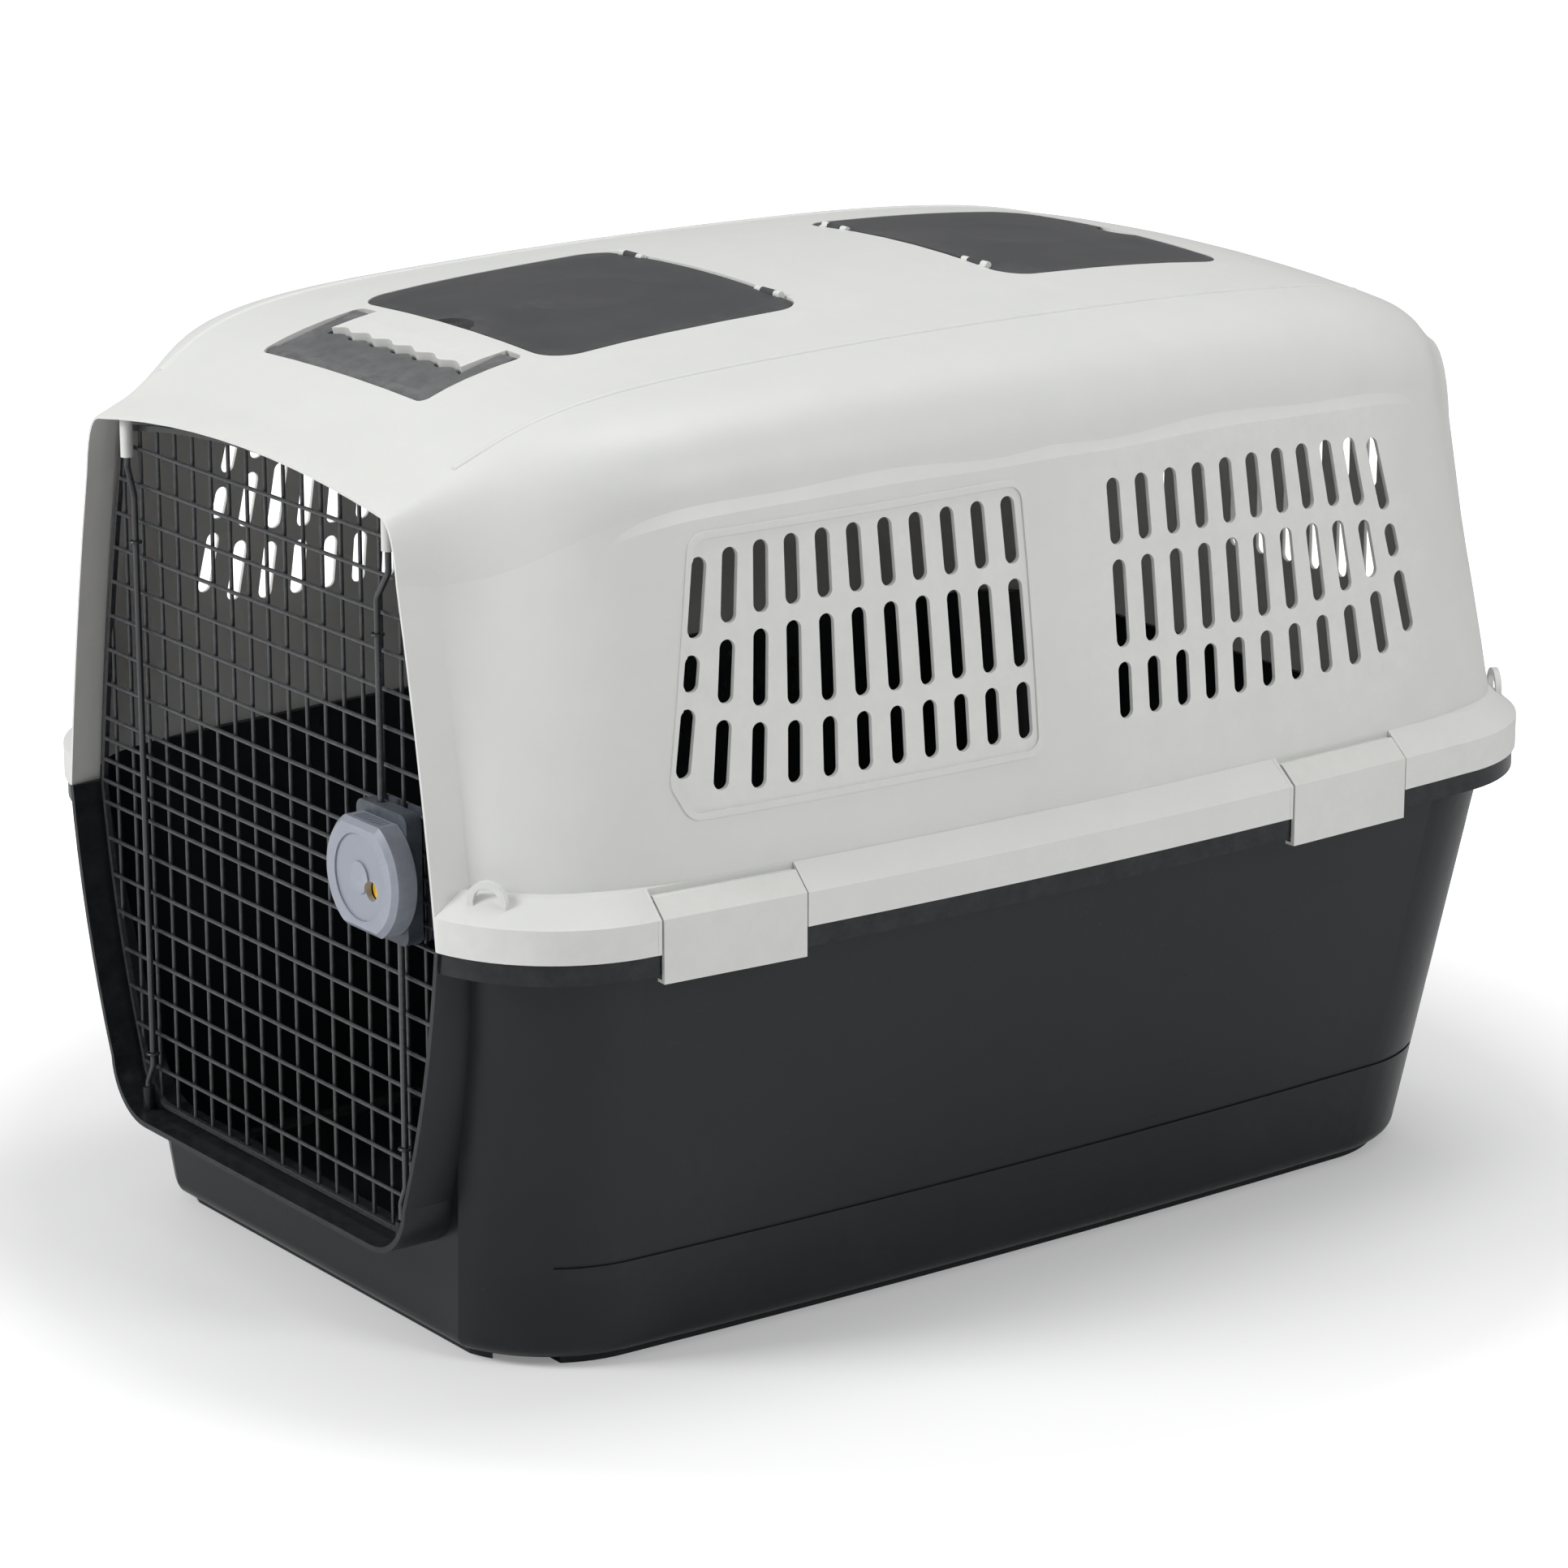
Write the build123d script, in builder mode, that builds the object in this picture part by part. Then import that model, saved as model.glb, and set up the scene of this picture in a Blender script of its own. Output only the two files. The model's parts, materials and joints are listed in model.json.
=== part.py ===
"""Two-piece plastic pet transport carrier with a wire door, roof hatches and side latches.

Millimetres, +Z up. The origin is at the middle of the footprint, on the surface it stands on.
The door is in the -Y end, and the seam between the two shells is the plane Z = SEAM_Z.
"""
import math
import os

from build123d import *

# ---- Driving dimensions -------------------------------------------------------------------
LENGTH = 1040.0
SEAM_Z = 348.0
WALL = 3.5
DIAL_PROUD = 12.0
FRONT = (DIAL_PROUD - LENGTH) / 2
ROOF_LOW, ROOF_HIGH = 600.0, 790.0

# Rim band of the upper shell and the flange under it
RIM_HALF_WIDTH = 384.0
RIM_FACE = 26.0
RIM_TOP = 44.0
RIM_SLOPE_IN = 21.0
FLANGE_DROP = 16.5
FLANGE_SETBACK = 2.5

# Base tub
FLOOR_Z = 7.0
REAR_LEAN = 6.0
TUB_BOTTOM_RADIUS = 14.0
FOOT_HEIGHT = 7.0
COLLAR_DEPTH = 58.0
COLLAR_WALL = 4.5
COLLAR_HALF_WIDTH = 268.0
COLLAR_FLOOR_Z = 88.0

# Upper body cross-sections, front half. Each row is one station along the length:
# distance behind the door lip, half width at the seam, half width and height where the wall
# turns into the shoulder, half width and height of the roof crease, height of the roof middle.
STATIONS = [
    (0, 268, 224, 612, 203, 659, 676),
    (28, 273, 232, 608, 205, 670, 685),
    (56, 316, 247, 613, 210, 684, 698),
    (85, 334, 270, 626, 216, 700, 713),
    (115, 341, 290, 642, 220, 713, 724),
    (160, 346, 305, 657, 223, 724, 735),
    (220, 350, 313, 663, 225, 731, 744),
    (300, 354, 318, 665, 226, 735, 751),
    (410, 358, 322, 666, 226, 738, 756),
    (520, 360, 324, 666, 226, 739, 758),
]
REAR_TUCK = 8.0
REAR_SQUEEZE = 0.75
STEP_OUT = 5.0
STEP_ROOT = 0.5
STEP_HEIGHT = 12.0
STEP_RAMP = (85.0, 175.0)

# Side vents: fan of slots in each panel, measured from the door lip
VENT_COLUMNS = 11
VENT_PITCH = 28.9
VENT_FIRST = 181.0
VENT_LEAN = 0.186
VENT_MIDDLE_Z = 546.0
VENT_SLOT_WIDTH = 13.0
VENT_BAR = 11.0
VENT_PANEL = [(188, 641), (487, 644), (487, 435), (170, 435), (156, 462)]
VENT_BEAD = 5.0
VENT_BEAD_HEIGHT = 1.6
REAR_VENT_COLUMNS = 9
REAR_VENT_PITCH = 34.0
REAR_VENT_ROWS = (476.0, 561.0)
REAR_VENT_LENGTH = 70.0
GROOVE_Z = 88.0
GROOVE_LENGTH = 860.0
STAND = (Align.CENTER, Align.CENTER, Align.MIN)

# Eyes on the corners of the rim, for a strap
EYE_RADIUS = 16.0
EYE_HOLE = 11.0
EYE_THICKNESS = 5.0
EYE_SHARE = 0.22
EYE_INSET = 15.0

# Door: rods in front, then cross wires, then upright wires
PIN_CLEARANCE = 0.06
POST_RADIUS = 5.0
LOWER_POST_TOP = 114.0
LOWER_POST_BORE = 96.0
UPPER_POST_FOOT = 628.0
UPPER_POST_BORE = 656.0
DOOR_PIN_X = 187.0
ROD_Y = FRONT + 16.0
ROD_RADIUS = 2.5
ROD_BEND = 8.0
HINGE_ROD_X = 178.0
WIRE_RADIUS = 1.6
FRAME_RADIUS = 2.0
CROSS_WIRE_Y = ROD_Y + POST_RADIUS + WIRE_RADIUS + 0.8
UPRIGHT_WIRE_Y = CROSS_WIRE_Y + 2 * WIRE_RADIUS + 0.02
FRAME_WIRE_Y = (CROSS_WIRE_Y + UPRIGHT_WIRE_Y) / 2
DOOR_GAP = 9.0
UPRIGHT_PITCH = 26.4
UPRIGHTS_EACH_SIDE = 9
FIRST_CROSS_Z = 100.0
CROSS_PITCHES = ((8, 29.2), (4, 17.7), (8, 28.7))
GUIDE_RADIUS = 4.2
GUIDE_WIRE = 1.2

# Lock: a dial turns a pinion, and the pinion drives the racks of both bolts
LOCK_X = 182.0
LOCK_Z = 386.0
DIAL_RADIUS = 48.0
DIAL_FLAT = 42.0
DIAL_FRONT = FRONT - DIAL_PROUD
DIAL_DEPTH = 20.0
DIAL_PLATE = 6.0
DIAL_RIM = 5.0
DIAL_BEVEL = 4.0
DIAL_DISH = 33.0
DIAL_DISC = 12.0
DIAL_DISH_DEPTH = 1.4
HUB_RADIUS = 6.0
WINDOW_PLACE = (15.0, -7.5)
WINDOW_RADIUS = 7.5
INDICATOR_RADIUS = 8.5
HOUSING_FRONT = DIAL_FRONT + DIAL_DEPTH + 0.5
HOUSING_BACK = CROSS_WIRE_Y - WIRE_RADIUS - 0.3
HOUSING_PLATE = 4.2
HOUSING_HALF_WIDTH = 34.0
HOUSING_HALF_HEIGHT = 50.0
HOUSING_ROOM = (30.0, 80.0)
BACK_PLATE_FRONT = UPRIGHT_WIRE_Y + WIRE_RADIUS + 0.3
BACK_PLATE_THICKNESS = 3.0
SCREW_PLACES = [(x, z) for x in (-18.0, 20.0) for z in (-43.5, 32.7)]
SCREW_RADIUS = 2.0
SCREW_HEAD = 4.0
SCREW_REACH = 7.5
DIAL_SCREW_RADIUS = 1.5
FIT = 0.03
PINION_TEETH = 10
GEAR_MODULE = 1.5
PRESSURE_ANGLE = math.radians(20)
BACKLASH = 0.25
PITCH_RADIUS = PINION_TEETH * GEAR_MODULE / 2
PINION_WIDTH = 6.0
RACK_WIDTH = 5.0
RACK_BACK = 13.5
RACK_REACH = (16.0, 20.0)
BOLT_OFFSET = 11.5
BOLT_TIP_GAP = 1.2
BOLT_BENDS = ((590.0, 612.0), (142.0, 128.0))

# Side latches: width, and the middle of each one measured from the door lip
LATCH_WIDTH = 122.0
LATCH_GAP = 1.5
LATCH_MIDDLES = {"front": 190.0, "rear": 782.0}
LATCH_PIN_RADIUS = 2.0
LATCH_KNUCKLE = 3.6
LATCH_AXIS = (-16.5, SEAM_Z + 36.5)
LATCH_CHEEK = 3.0
LATCH_PIN_HALF = LATCH_WIDTH / 2 + LATCH_GAP + LATCH_CHEEK - 0.5

# Roof hatches: from and to, measured from the door lip
HATCH_HALF_WIDTH = 138.0
HATCH_CORNER = 28.0
HATCH_SPANS = {"front": (194.0, 429.0), "rear": (624.0, 851.0)}
HATCH_GAP = 1.5
HATCH_LEDGE = 8.0
HATCH_PIN_RADIUS = 1.5
HATCH_HINGE_SETBACK = 3.7
HATCH_KNUCKLE = 3.0
HATCH_AXIS_Z = 753.2
HATCH_WEB = 6.0
HATCH_THICKNESS = 3.7
HATCH_SUNK = 0.25
HATCH_REST_GAP = 0.6
HATCH_KNUCKLES_X = (84.0, 100.0)
HATCH_CLEAR_X = (83.5, 100.5)
HATCH_BOSSES_X = ((76.0, 83.5), (100.5, 108.0))
HATCH_PIN_X = (77.0, 107.0)
NOTCH_HALF_WIDTH = 22.5
NOTCH_DEPTH = 15.0
DISH_RADIUS = 60.0
DISH_DEPTH = 2.2

# Carry handle
HANDLE_TILT = 15.6
HANDLE_ORIGIN = (0, FRONT + 176.0, 735.0)
HANDLE_HALF_WIDTH = 111.0
HANDLE_REACH = 82.0
HANDLE_ARM = 19.0
HANDLE_PIN_RADIUS = 2.5
HANDLE_PIN_LENGTH = 29.0
HANDLE_KNUCKLE = 5.5
HANDLE_PLATE = 5.0
HANDLE_BAR = (13.0, 11.0)
HANDLE_BAR_Z = -4.0
TONGUE_GAP = 2.5
TONGUE_WAVES = 6
TONGUE_WAVE = 2.5
TONGUE_REACH = 30.0
TONGUE_BACK = 14.0
TONGUE_FRONT_GAP = 1.5
HANDLE_AXIS_Y = HANDLE_ORIGIN[1] + HANDLE_PLATE * math.sin(math.radians(HANDLE_TILT))
HANDLE_AXIS_Z = HANDLE_ORIGIN[2] - HANDLE_PLATE * math.cos(math.radians(HANDLE_TILT))
POCKET_DEPTH = 24.0


def at(distance):
    """Y coordinate of a place measured from the door lip."""
    return FRONT + distance


def ramp(value, low, high):
    """0 below low, 1 above high, straight between."""
    return min(1.0, max(0.0, (value - low) / (high - low)))


def mirrored_stations():
    """All stations from the door lip to the rear wall, whose corners are fuller and lower."""
    rear = []
    for distance, seam, shoulder, shoulder_z, crease, crease_z, roof_z in reversed(STATIONS[1:-1]):
        away = ramp(distance, 28, 300)
        tuck = REAR_TUCK * (1 - away)
        squeezed = distance * (REAR_SQUEEZE + (1 - REAR_SQUEEZE) * away)
        rear.append((LENGTH - squeezed, seam, shoulder - tuck, shoulder_z - tuck,
                     crease - tuck, crease_z - tuck, roof_z - tuck))
    return STATIONS + rear


def roof_height(distance):
    """Height of the roof's middle line at a distance behind the door lip."""
    rows = mirrored_stations()
    for low, high in zip(rows, rows[1:]):
        if distance <= high[0]:
            share = (distance - low[0]) / (high[0] - low[0])
            return low[6] + share * (high[6] - low[6])
    return rows[-1][6]


def lifted(face, height):
    """A plan face moved up to a height."""
    return face.moved(Location((0, 0, height)))


def station_plane(distance):
    """Plane across the body at a distance behind the door lip."""
    return Plane.XZ.offset(-at(distance))


def body_section(row, distance, inset, floor):
    """Half-barrel cross-section of the upper body, at a distance behind the door lip."""
    _, seam, shoulder, shoulder_z, crease, crease_z, roof_z = row
    seam -= inset
    shoulder -= inset
    crease -= inset * 0.6
    crease_z -= inset
    roof_z -= inset
    corner = (shoulder - 0.10 * (crease_z - shoulder_z), crease_z - 0.10 * (shoulder - crease))
    bulge = ((seam + shoulder) / 2 + 0.012 * (shoulder_z - SEAM_Z), (SEAM_Z + shoulder_z) / 2)
    with BuildSketch(station_plane(distance)) as section:
        with BuildLine():
            Line((-seam, floor), (seam, floor))
            if floor < SEAM_Z:
                Line((seam, floor), (seam, SEAM_Z))
            ThreePointArc((seam, SEAM_Z), bulge, (shoulder, shoulder_z))
            Bezier((shoulder, shoulder_z), corner, (crease, crease_z))
            ThreePointArc((crease, crease_z), (0, roof_z), (-crease, crease_z))
            Bezier((-crease, crease_z), (-corner[0], corner[1]), (-shoulder, shoulder_z))
            ThreePointArc((-shoulder, shoulder_z), (-bulge[0], bulge[1]), (-seam, SEAM_Z))
            if floor < SEAM_Z:
                Line((-seam, SEAM_Z), (-seam, floor))
        make_face()
    return section.sketch.faces()[0]


def step_section(row, distance, inset, floor):
    """Section of the fuller lower wall, which ends in a soft step under the shoulder."""
    _, seam, shoulder, shoulder_z, _, _, _ = row
    out = (STEP_OUT + STEP_ROOT) * ramp(min(row[0], LENGTH - row[0]), *STEP_RAMP) - STEP_ROOT
    seam += out - inset
    foot = shoulder + out - inset
    bulge = ((seam + foot) / 2 + 0.012 * (shoulder_z - SEAM_Z), (SEAM_Z + shoulder_z) / 2)
    ledge = foot - out - 1
    edge_z = shoulder_z - STEP_HEIGHT
    with BuildSketch(station_plane(distance)) as section:
        with BuildLine():
            Line((-seam, floor), (seam, floor))
            if floor < SEAM_Z:
                Line((seam, floor), (seam, SEAM_Z))
            ThreePointArc((seam, SEAM_Z), bulge, (foot, edge_z))
            Polyline((foot, edge_z), (ledge, shoulder_z), (-ledge, shoulder_z), (-foot, edge_z))
            ThreePointArc((-foot, edge_z), (-bulge[0], bulge[1]), (-seam, SEAM_Z))
            if floor < SEAM_Z:
                Line((-seam, SEAM_Z), (-seam, floor))
        make_face()
    return section.sketch.faces()[0]


def upper_body(inset, floor=SEAM_Z, front_overrun=0.0):
    """Solid inside the upper body's surface moved inwards by inset."""
    rows = mirrored_stations()
    ends = [row[0] for row in rows]
    ends[0] -= front_overrun
    ends[-1] -= inset
    faces = [body_section(row, end, inset, floor) for row, end in zip(rows, ends)]
    steps = [step_section(row, row[0], inset, floor) for row in rows[3:-2]]
    with BuildPart() as body:
        loft(sections=faces[:2], ruled=True)
        loft(sections=faces[1:])
        loft(sections=steps)
    return body.part


def plan_outline(front_y, front_x, corner, side, bow_x, rear_lean=0.0):
    """Closed plan outline: bowed long sides, swept corners, straight ends."""
    middle = LENGTH / 2
    rear = LENGTH - rear_lean
    with BuildSketch() as outline:
        with BuildLine():
            Line((-front_x, at(front_y)), (front_x, at(front_y)))
            ThreePointArc((front_x, at(front_y)), (corner[0], at(corner[1])), (side[0], at(side[1])))
            ThreePointArc((side[0], at(side[1])), (bow_x, at(middle)), (side[0], at(rear - side[1])))
            ThreePointArc((side[0], at(rear - side[1])), (corner[0], at(rear - corner[1])),
                          (front_x, at(rear - front_y)))
            Line((front_x, at(rear - front_y)), (-front_x, at(rear - front_y)))
            ThreePointArc((-front_x, at(rear - front_y)), (-corner[0], at(rear - corner[1])),
                          (-side[0], at(rear - side[1])))
            ThreePointArc((-side[0], at(rear - side[1])), (-bow_x, at(middle)), (-side[0], at(side[1])))
            ThreePointArc((-side[0], at(side[1])), (-corner[0], at(corner[1])), (-front_x, at(front_y)))
        make_face()
    return outline.sketch.faces()[0]


def rim_outline(inset):
    """Outline of the rim band, moved inwards."""
    return plan_outline(
        inset,
        COLLAR_HALF_WIDTH - 0.4 * inset,
        (345 - 0.75 * inset, 54 + 0.65 * inset),
        (367 - inset, 122 + 0.3 * inset),
        RIM_HALF_WIDTH - inset,
    )


def tub_outline(share, inset):
    """Outline of the tub wall, from 0 at the seam to 1 at the floor."""
    wall = RIM_FACE - 1.0
    top = (wall, 257, (327, 70), (342, 130), RIM_HALF_WIDTH - wall)
    low = (52, 205, (252, 82), (284, 155), 291)
    mix = lambda a, b: a + (b - a) * share
    corner = (mix(top[2][0], low[2][0]) - 0.75 * inset, mix(top[2][1], low[2][1]) + 0.65 * inset)
    side = (mix(top[3][0], low[3][0]) - inset, mix(top[3][1], low[3][1]) + 0.3 * inset)
    front_y = mix(top[0], low[0]) + inset
    front_x = mix(top[1], low[1]) - 0.4 * inset
    lean = mix(0, REAR_LEAN)
    return plan_outline(front_y, front_x, corner, side, mix(top[4], low[4]) - inset, lean)


def tub_solid(inset, top_z, floor_z):
    """Solid inside the tub's walls, moved inwards by inset."""
    span = SEAM_Z - FLOOR_Z
    high = tub_outline((SEAM_Z - top_z) / span, inset)
    low = tub_outline((SEAM_Z - floor_z) / span, inset)
    with BuildPart() as tub:
        loft(sections=[high.moved(Location((0, 0, top_z))), low.moved(Location((0, 0, floor_z)))])
        fillet(tub.edges().group_by(Axis.Z)[0], max(TUB_BOTTOM_RADIUS - inset, 4))
    return tub.part


def collar_face(inset, distance):
    """Lower half of the door collar's outline."""
    side = COLLAR_HALF_WIDTH - inset
    floor = COLLAR_FLOOR_Z + inset
    with BuildSketch(station_plane(distance)) as outline:
        with BuildLine():
            Line((-side, SEAM_Z), (side, SEAM_Z))
            ThreePointArc((side, SEAM_Z), (246 - inset, 226), (217 - 0.9 * inset, 134))
            ThreePointArc((217 - 0.9 * inset, 134), (202 - 0.7 * inset, 102 + 0.7 * inset),
                          (168 - 0.3 * inset, floor))
            Line((168 - 0.3 * inset, floor), (-168 + 0.3 * inset, floor))
            ThreePointArc((-168 + 0.3 * inset, floor), (-202 + 0.7 * inset, 102 + 0.7 * inset),
                          (-217 + 0.9 * inset, 134))
            ThreePointArc((-217 + 0.9 * inset, 134), (-246 + inset, 226), (-side, SEAM_Z))
        make_face()
    return outline.sketch.faces()[0]


def rod_post_cores(low, high, radius):
    """Upright cylinders on both door post axes."""
    with BuildPart() as pair:
        with Locations((-DOOR_PIN_X, ROD_Y, low), (DOOR_PIN_X, ROD_Y, low)):
            Cylinder(radius, high - low, align=STAND)
    return pair.part


def lower_posts():
    """Posts that the rods stand in, cut to the collar's outline."""
    with BuildPart() as posts:
        add(rod_post_cores(COLLAR_FLOOR_Z + 1, LOWER_POST_TOP, POST_RADIUS))
        extrude(to_extrude=collar_face(1, 0), amount=COLLAR_DEPTH, dir=(0, 1, 0), mode=Mode.INTERSECT)
    return posts.part


def foot_ring():
    """Ring under the floor, broken near each corner, so that the tub stands on pads and skids."""
    with BuildPart() as ring:
        extrude(to_extrude=tub_outline(1, 14), amount=FOOT_HEIGHT + WALL / 2)
        extrude(to_extrude=tub_outline(1, 34), amount=FOOT_HEIGHT + WALL / 2, mode=Mode.SUBTRACT)
        with Locations(*[(0, at(distance), 0) for distance in (92, LENGTH - REAR_LEAN - 92)]):
            Box(2 * RIM_HALF_WIDTH, 36, 2 * (FOOT_HEIGHT - 2), mode=Mode.SUBTRACT)
    return ring.part


def make_lower_shell():
    """Tub with its door collar, flange, feet and lower rod posts."""
    with BuildPart() as flange:
        extrude(to_extrude=lifted(rim_outline(FLANGE_SETBACK), SEAM_Z - FLANGE_DROP), amount=FLANGE_DROP)
        extrude(to_extrude=lifted(rim_outline(FLANGE_SETBACK + WALL), SEAM_Z - FLANGE_DROP),
                amount=FLANGE_DROP - WALL, mode=Mode.SUBTRACT)
    with BuildPart() as groove:
        with Locations((0, at(LENGTH / 2), GROOVE_Z)):
            Box(2 * RIM_HALF_WIDTH, GROOVE_LENGTH, 3)
        add(tub_solid(1.3, SEAM_Z, FLOOR_Z), mode=Mode.SUBTRACT)
    with BuildPart() as shell:
        add(tub_solid(0, SEAM_Z, FLOOR_Z))
        extrude(to_extrude=collar_face(0, 0), amount=COLLAR_DEPTH, dir=(0, 1, 0))
        add(flange.part)
        add(tub_solid(WALL, SEAM_Z + 2, FLOOR_Z + WALL), mode=Mode.SUBTRACT)
        extrude(to_extrude=collar_face(COLLAR_WALL, -5), amount=COLLAR_DEPTH + 10, dir=(0, 1, 0),
                mode=Mode.SUBTRACT)
        add(foot_ring())
        add(lower_posts())
        add(rod_post_cores(LOWER_POST_BORE, LOWER_POST_TOP + 5, ROD_RADIUS + PIN_CLEARANCE),
            mode=Mode.SUBTRACT)
        add(groove.part, mode=Mode.SUBTRACT)
        for plane in latch_planes():
            add(latch_pocket(plane), mode=Mode.SUBTRACT)
    return shell.part


def rim_band():
    """Hollow band around the seam: upright face, then a slope up to the wall."""
    with BuildPart() as band:
        extrude(to_extrude=lifted(rim_outline(0), SEAM_Z), amount=RIM_FACE)
        loft(sections=[lifted(rim_outline(0), SEAM_Z + RIM_FACE),
                       lifted(rim_outline(RIM_SLOPE_IN), SEAM_Z + RIM_TOP)])
    return band.part


def rim_channel(body):
    """Space under the rim band, outside the wall."""
    with BuildPart() as channel:
        extrude(to_extrude=lifted(rim_outline(WALL), SEAM_Z - 1), amount=RIM_FACE - 1)
        add(body, mode=Mode.SUBTRACT)
    return channel.part


def vent_column(index):
    """Slots of one column as (distance, middle height, length, tilt in degrees)."""
    lean = VENT_LEAN * (1 - index / 8) * abs(1 - index / 8)
    near_end = math.exp(-index / 1.5)
    top = 632 - 8 * near_end
    upper_bar = 576 - 16 * near_end
    lower_bar = 498 + 24 * near_end
    bottom = 449 + 17 * math.exp(-index / 0.8)
    half = VENT_BAR / 2
    spans = [(upper_bar + half, top), (lower_bar + half, upper_bar - half), (bottom, lower_bar - half)]
    column = []
    for low, high in spans:
        middle_z = (low + high) / 2
        distance = VENT_FIRST + index * VENT_PITCH + lean * (middle_z - VENT_MIDDLE_Z)
        column.append((distance, middle_z, high - low, math.degrees(math.atan(lean))))
    return column


def side_vent_slots():
    """Slots of both panels on both sides, as bars that run right across the body."""
    with BuildPart() as bars:
        with BuildSketch(Plane.YZ.offset(-RIM_HALF_WIDTH)):
            for index in range(VENT_COLUMNS):
                for distance, middle_z, length, tilt in vent_column(index):
                    front = Location((at(distance), middle_z, 0), (0, 0, 90 - tilt))
                    rear = Location((at(LENGTH - distance), middle_z, 0), (0, 0, 90 + tilt))
                    with Locations(front, rear):
                        SlotOverall(length, VENT_SLOT_WIDTH)
        extrude(amount=2 * RIM_HALF_WIDTH)
    return bars.part


def rear_vent_slots():
    """Upright slots through the rear wall, in two rows."""
    with BuildPart() as bars:
        with BuildSketch(station_plane(LENGTH + 10)):
            for index in range(REAR_VENT_COLUMNS):
                place = (index - (REAR_VENT_COLUMNS - 1) / 2) * REAR_VENT_PITCH
                with Locations(*[Location((place, row, 0), (0, 0, 90)) for row in REAR_VENT_ROWS]):
                    SlotOverall(REAR_VENT_LENGTH, VENT_SLOT_WIDTH)
        extrude(amount=110)
    return bars.part


def vent_beads():
    """Ring prisms that pick the raised border of each side panel out of the wall's skin."""
    with BuildPart() as rings:
        with BuildSketch(Plane.YZ.offset(-RIM_HALF_WIDTH - 20)):
            with BuildLine():
                Polyline(*[(at(distance), z) for distance, z in VENT_PANEL], close=True)
                Polyline(*[(at(LENGTH - distance), z) for distance, z in VENT_PANEL], close=True)
            make_face()
            fillet(vertices(), 16)
            offset(amount=-VENT_BEAD, kind=Kind.INTERSECTION, mode=Mode.SUBTRACT)
        extrude(amount=2 * RIM_HALF_WIDTH + 40)
    return rings.part


def hatch_outline(span, inset):
    """Plan outline of a roof hatch opening."""
    low, high = span
    with BuildSketch() as outline:
        with Locations((0, at((low + high) / 2))):
            RectangleRounded(2 * (HATCH_HALF_WIDTH - inset), high - low - 2 * inset, HATCH_CORNER - inset)
    return outline.sketch


def roof_column(face, low, high):
    """Upright prism of a plan outline through the roof."""
    with BuildPart() as column:
        extrude(to_extrude=lifted(face, low), amount=high - low)
    return column.part


def handle_plane():
    """Plane of the handle's pocket: +x to the right, +y up the roof slope to the rear."""
    tilt = math.radians(HANDLE_TILT)
    return Plane(origin=HANDLE_ORIGIN, x_dir=(1, 0, 0), z_dir=(0, -math.sin(tilt), math.cos(tilt)))


def handle_tongue(grow):
    """Part of the roof that stays between the handle's arms, with a waved front edge."""
    half = HANDLE_HALF_WIDTH - HANDLE_ARM - 2
    pitch = half / TONGUE_WAVES
    wide = half + pitch
    front = -TONGUE_REACH - TONGUE_FRONT_GAP * grow
    waves = [(index * pitch, front + (TONGUE_WAVE if index % 2 else -TONGUE_WAVE))
             for index in range(-TONGUE_WAVES - 1, TONGUE_WAVES + 2)]
    with BuildSketch(handle_plane()) as tongue:
        with BuildLine():
            wave = Spline(*waves)
            Polyline(wave @ 1, (wide, TONGUE_BACK), (-wide, TONGUE_BACK), wave @ 0)
        make_face()
        Rectangle(2 * (half + grow), 4 * TONGUE_REACH, mode=Mode.INTERSECT)
    return tongue.sketch


def handle_pocket(grow, depth):
    """Pocket for the handle and the fingers, as a solid under the roof slope."""
    half = HANDLE_HALF_WIDTH + 2.5 + grow
    with BuildPart() as pocket:
        with BuildSketch(handle_plane().offset(-depth)):
            with Locations((0, (9 - HANDLE_REACH - 3) / 2)):
                RectangleRounded(2 * half, HANDLE_REACH + 12 + 2 * grow, 8)
        extrude(amount=depth + 25)
    return pocket.part


def handle_pin_bores(radius):
    """Both handle pins, or their bores."""
    middle = HANDLE_HALF_WIDTH - HANDLE_ARM / 2
    with BuildPart() as pins:
        with BuildSketch(Plane.YZ.offset(-HANDLE_PIN_LENGTH / 2)):
            with Locations((HANDLE_AXIS_Y, HANDLE_AXIS_Z)):
                Circle(radius)
        extrude(amount=HANDLE_PIN_LENGTH)
    with BuildPart() as pair:
        for side in (-1, 1):
            add(pins.part.moved(Location((side * middle, 0, 0))))
    return pair.part


def hatch_hinge_y(name):
    """Y of a hatch's hinge axis, just inside the opening's inner edge."""
    low, high = HATCH_SPANS[name]
    return at(high - HATCH_HINGE_SETBACK) if name == "front" else at(low + HATCH_HINGE_SETBACK)


def hatch_cylinders(name, radius, spans):
    """Cylinders along a hatch's hinge axis, one for each span of x on both sides."""
    with BuildPart() as rods:
        for low, high in spans:
            with BuildSketch(Plane.YZ.offset(low)):
                with Locations((hatch_hinge_y(name), HATCH_AXIS_Z)):
                    Circle(radius)
            extrude(amount=high - low)
        mirror(about=Plane.YZ)
    return rods.part


def hatch_boss_webs(name):
    """Blocks that join a hatch's pin bosses to the edge of the roof."""
    outward = -1 if name == "front" else 1
    depth = HATCH_HINGE_SETBACK + 1
    with BuildPart() as webs:
        for low, high in HATCH_BOSSES_X:
            with Locations(*[(side * (low + high) / 2, hatch_hinge_y(name) - outward * depth / 2, HATCH_AXIS_Z)
                             for side in (-1, 1)]):
                Box(high - low, depth, HATCH_WEB, align=(Align.CENTER, Align.CENTER, Align.MAX))
    return webs.part


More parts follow.
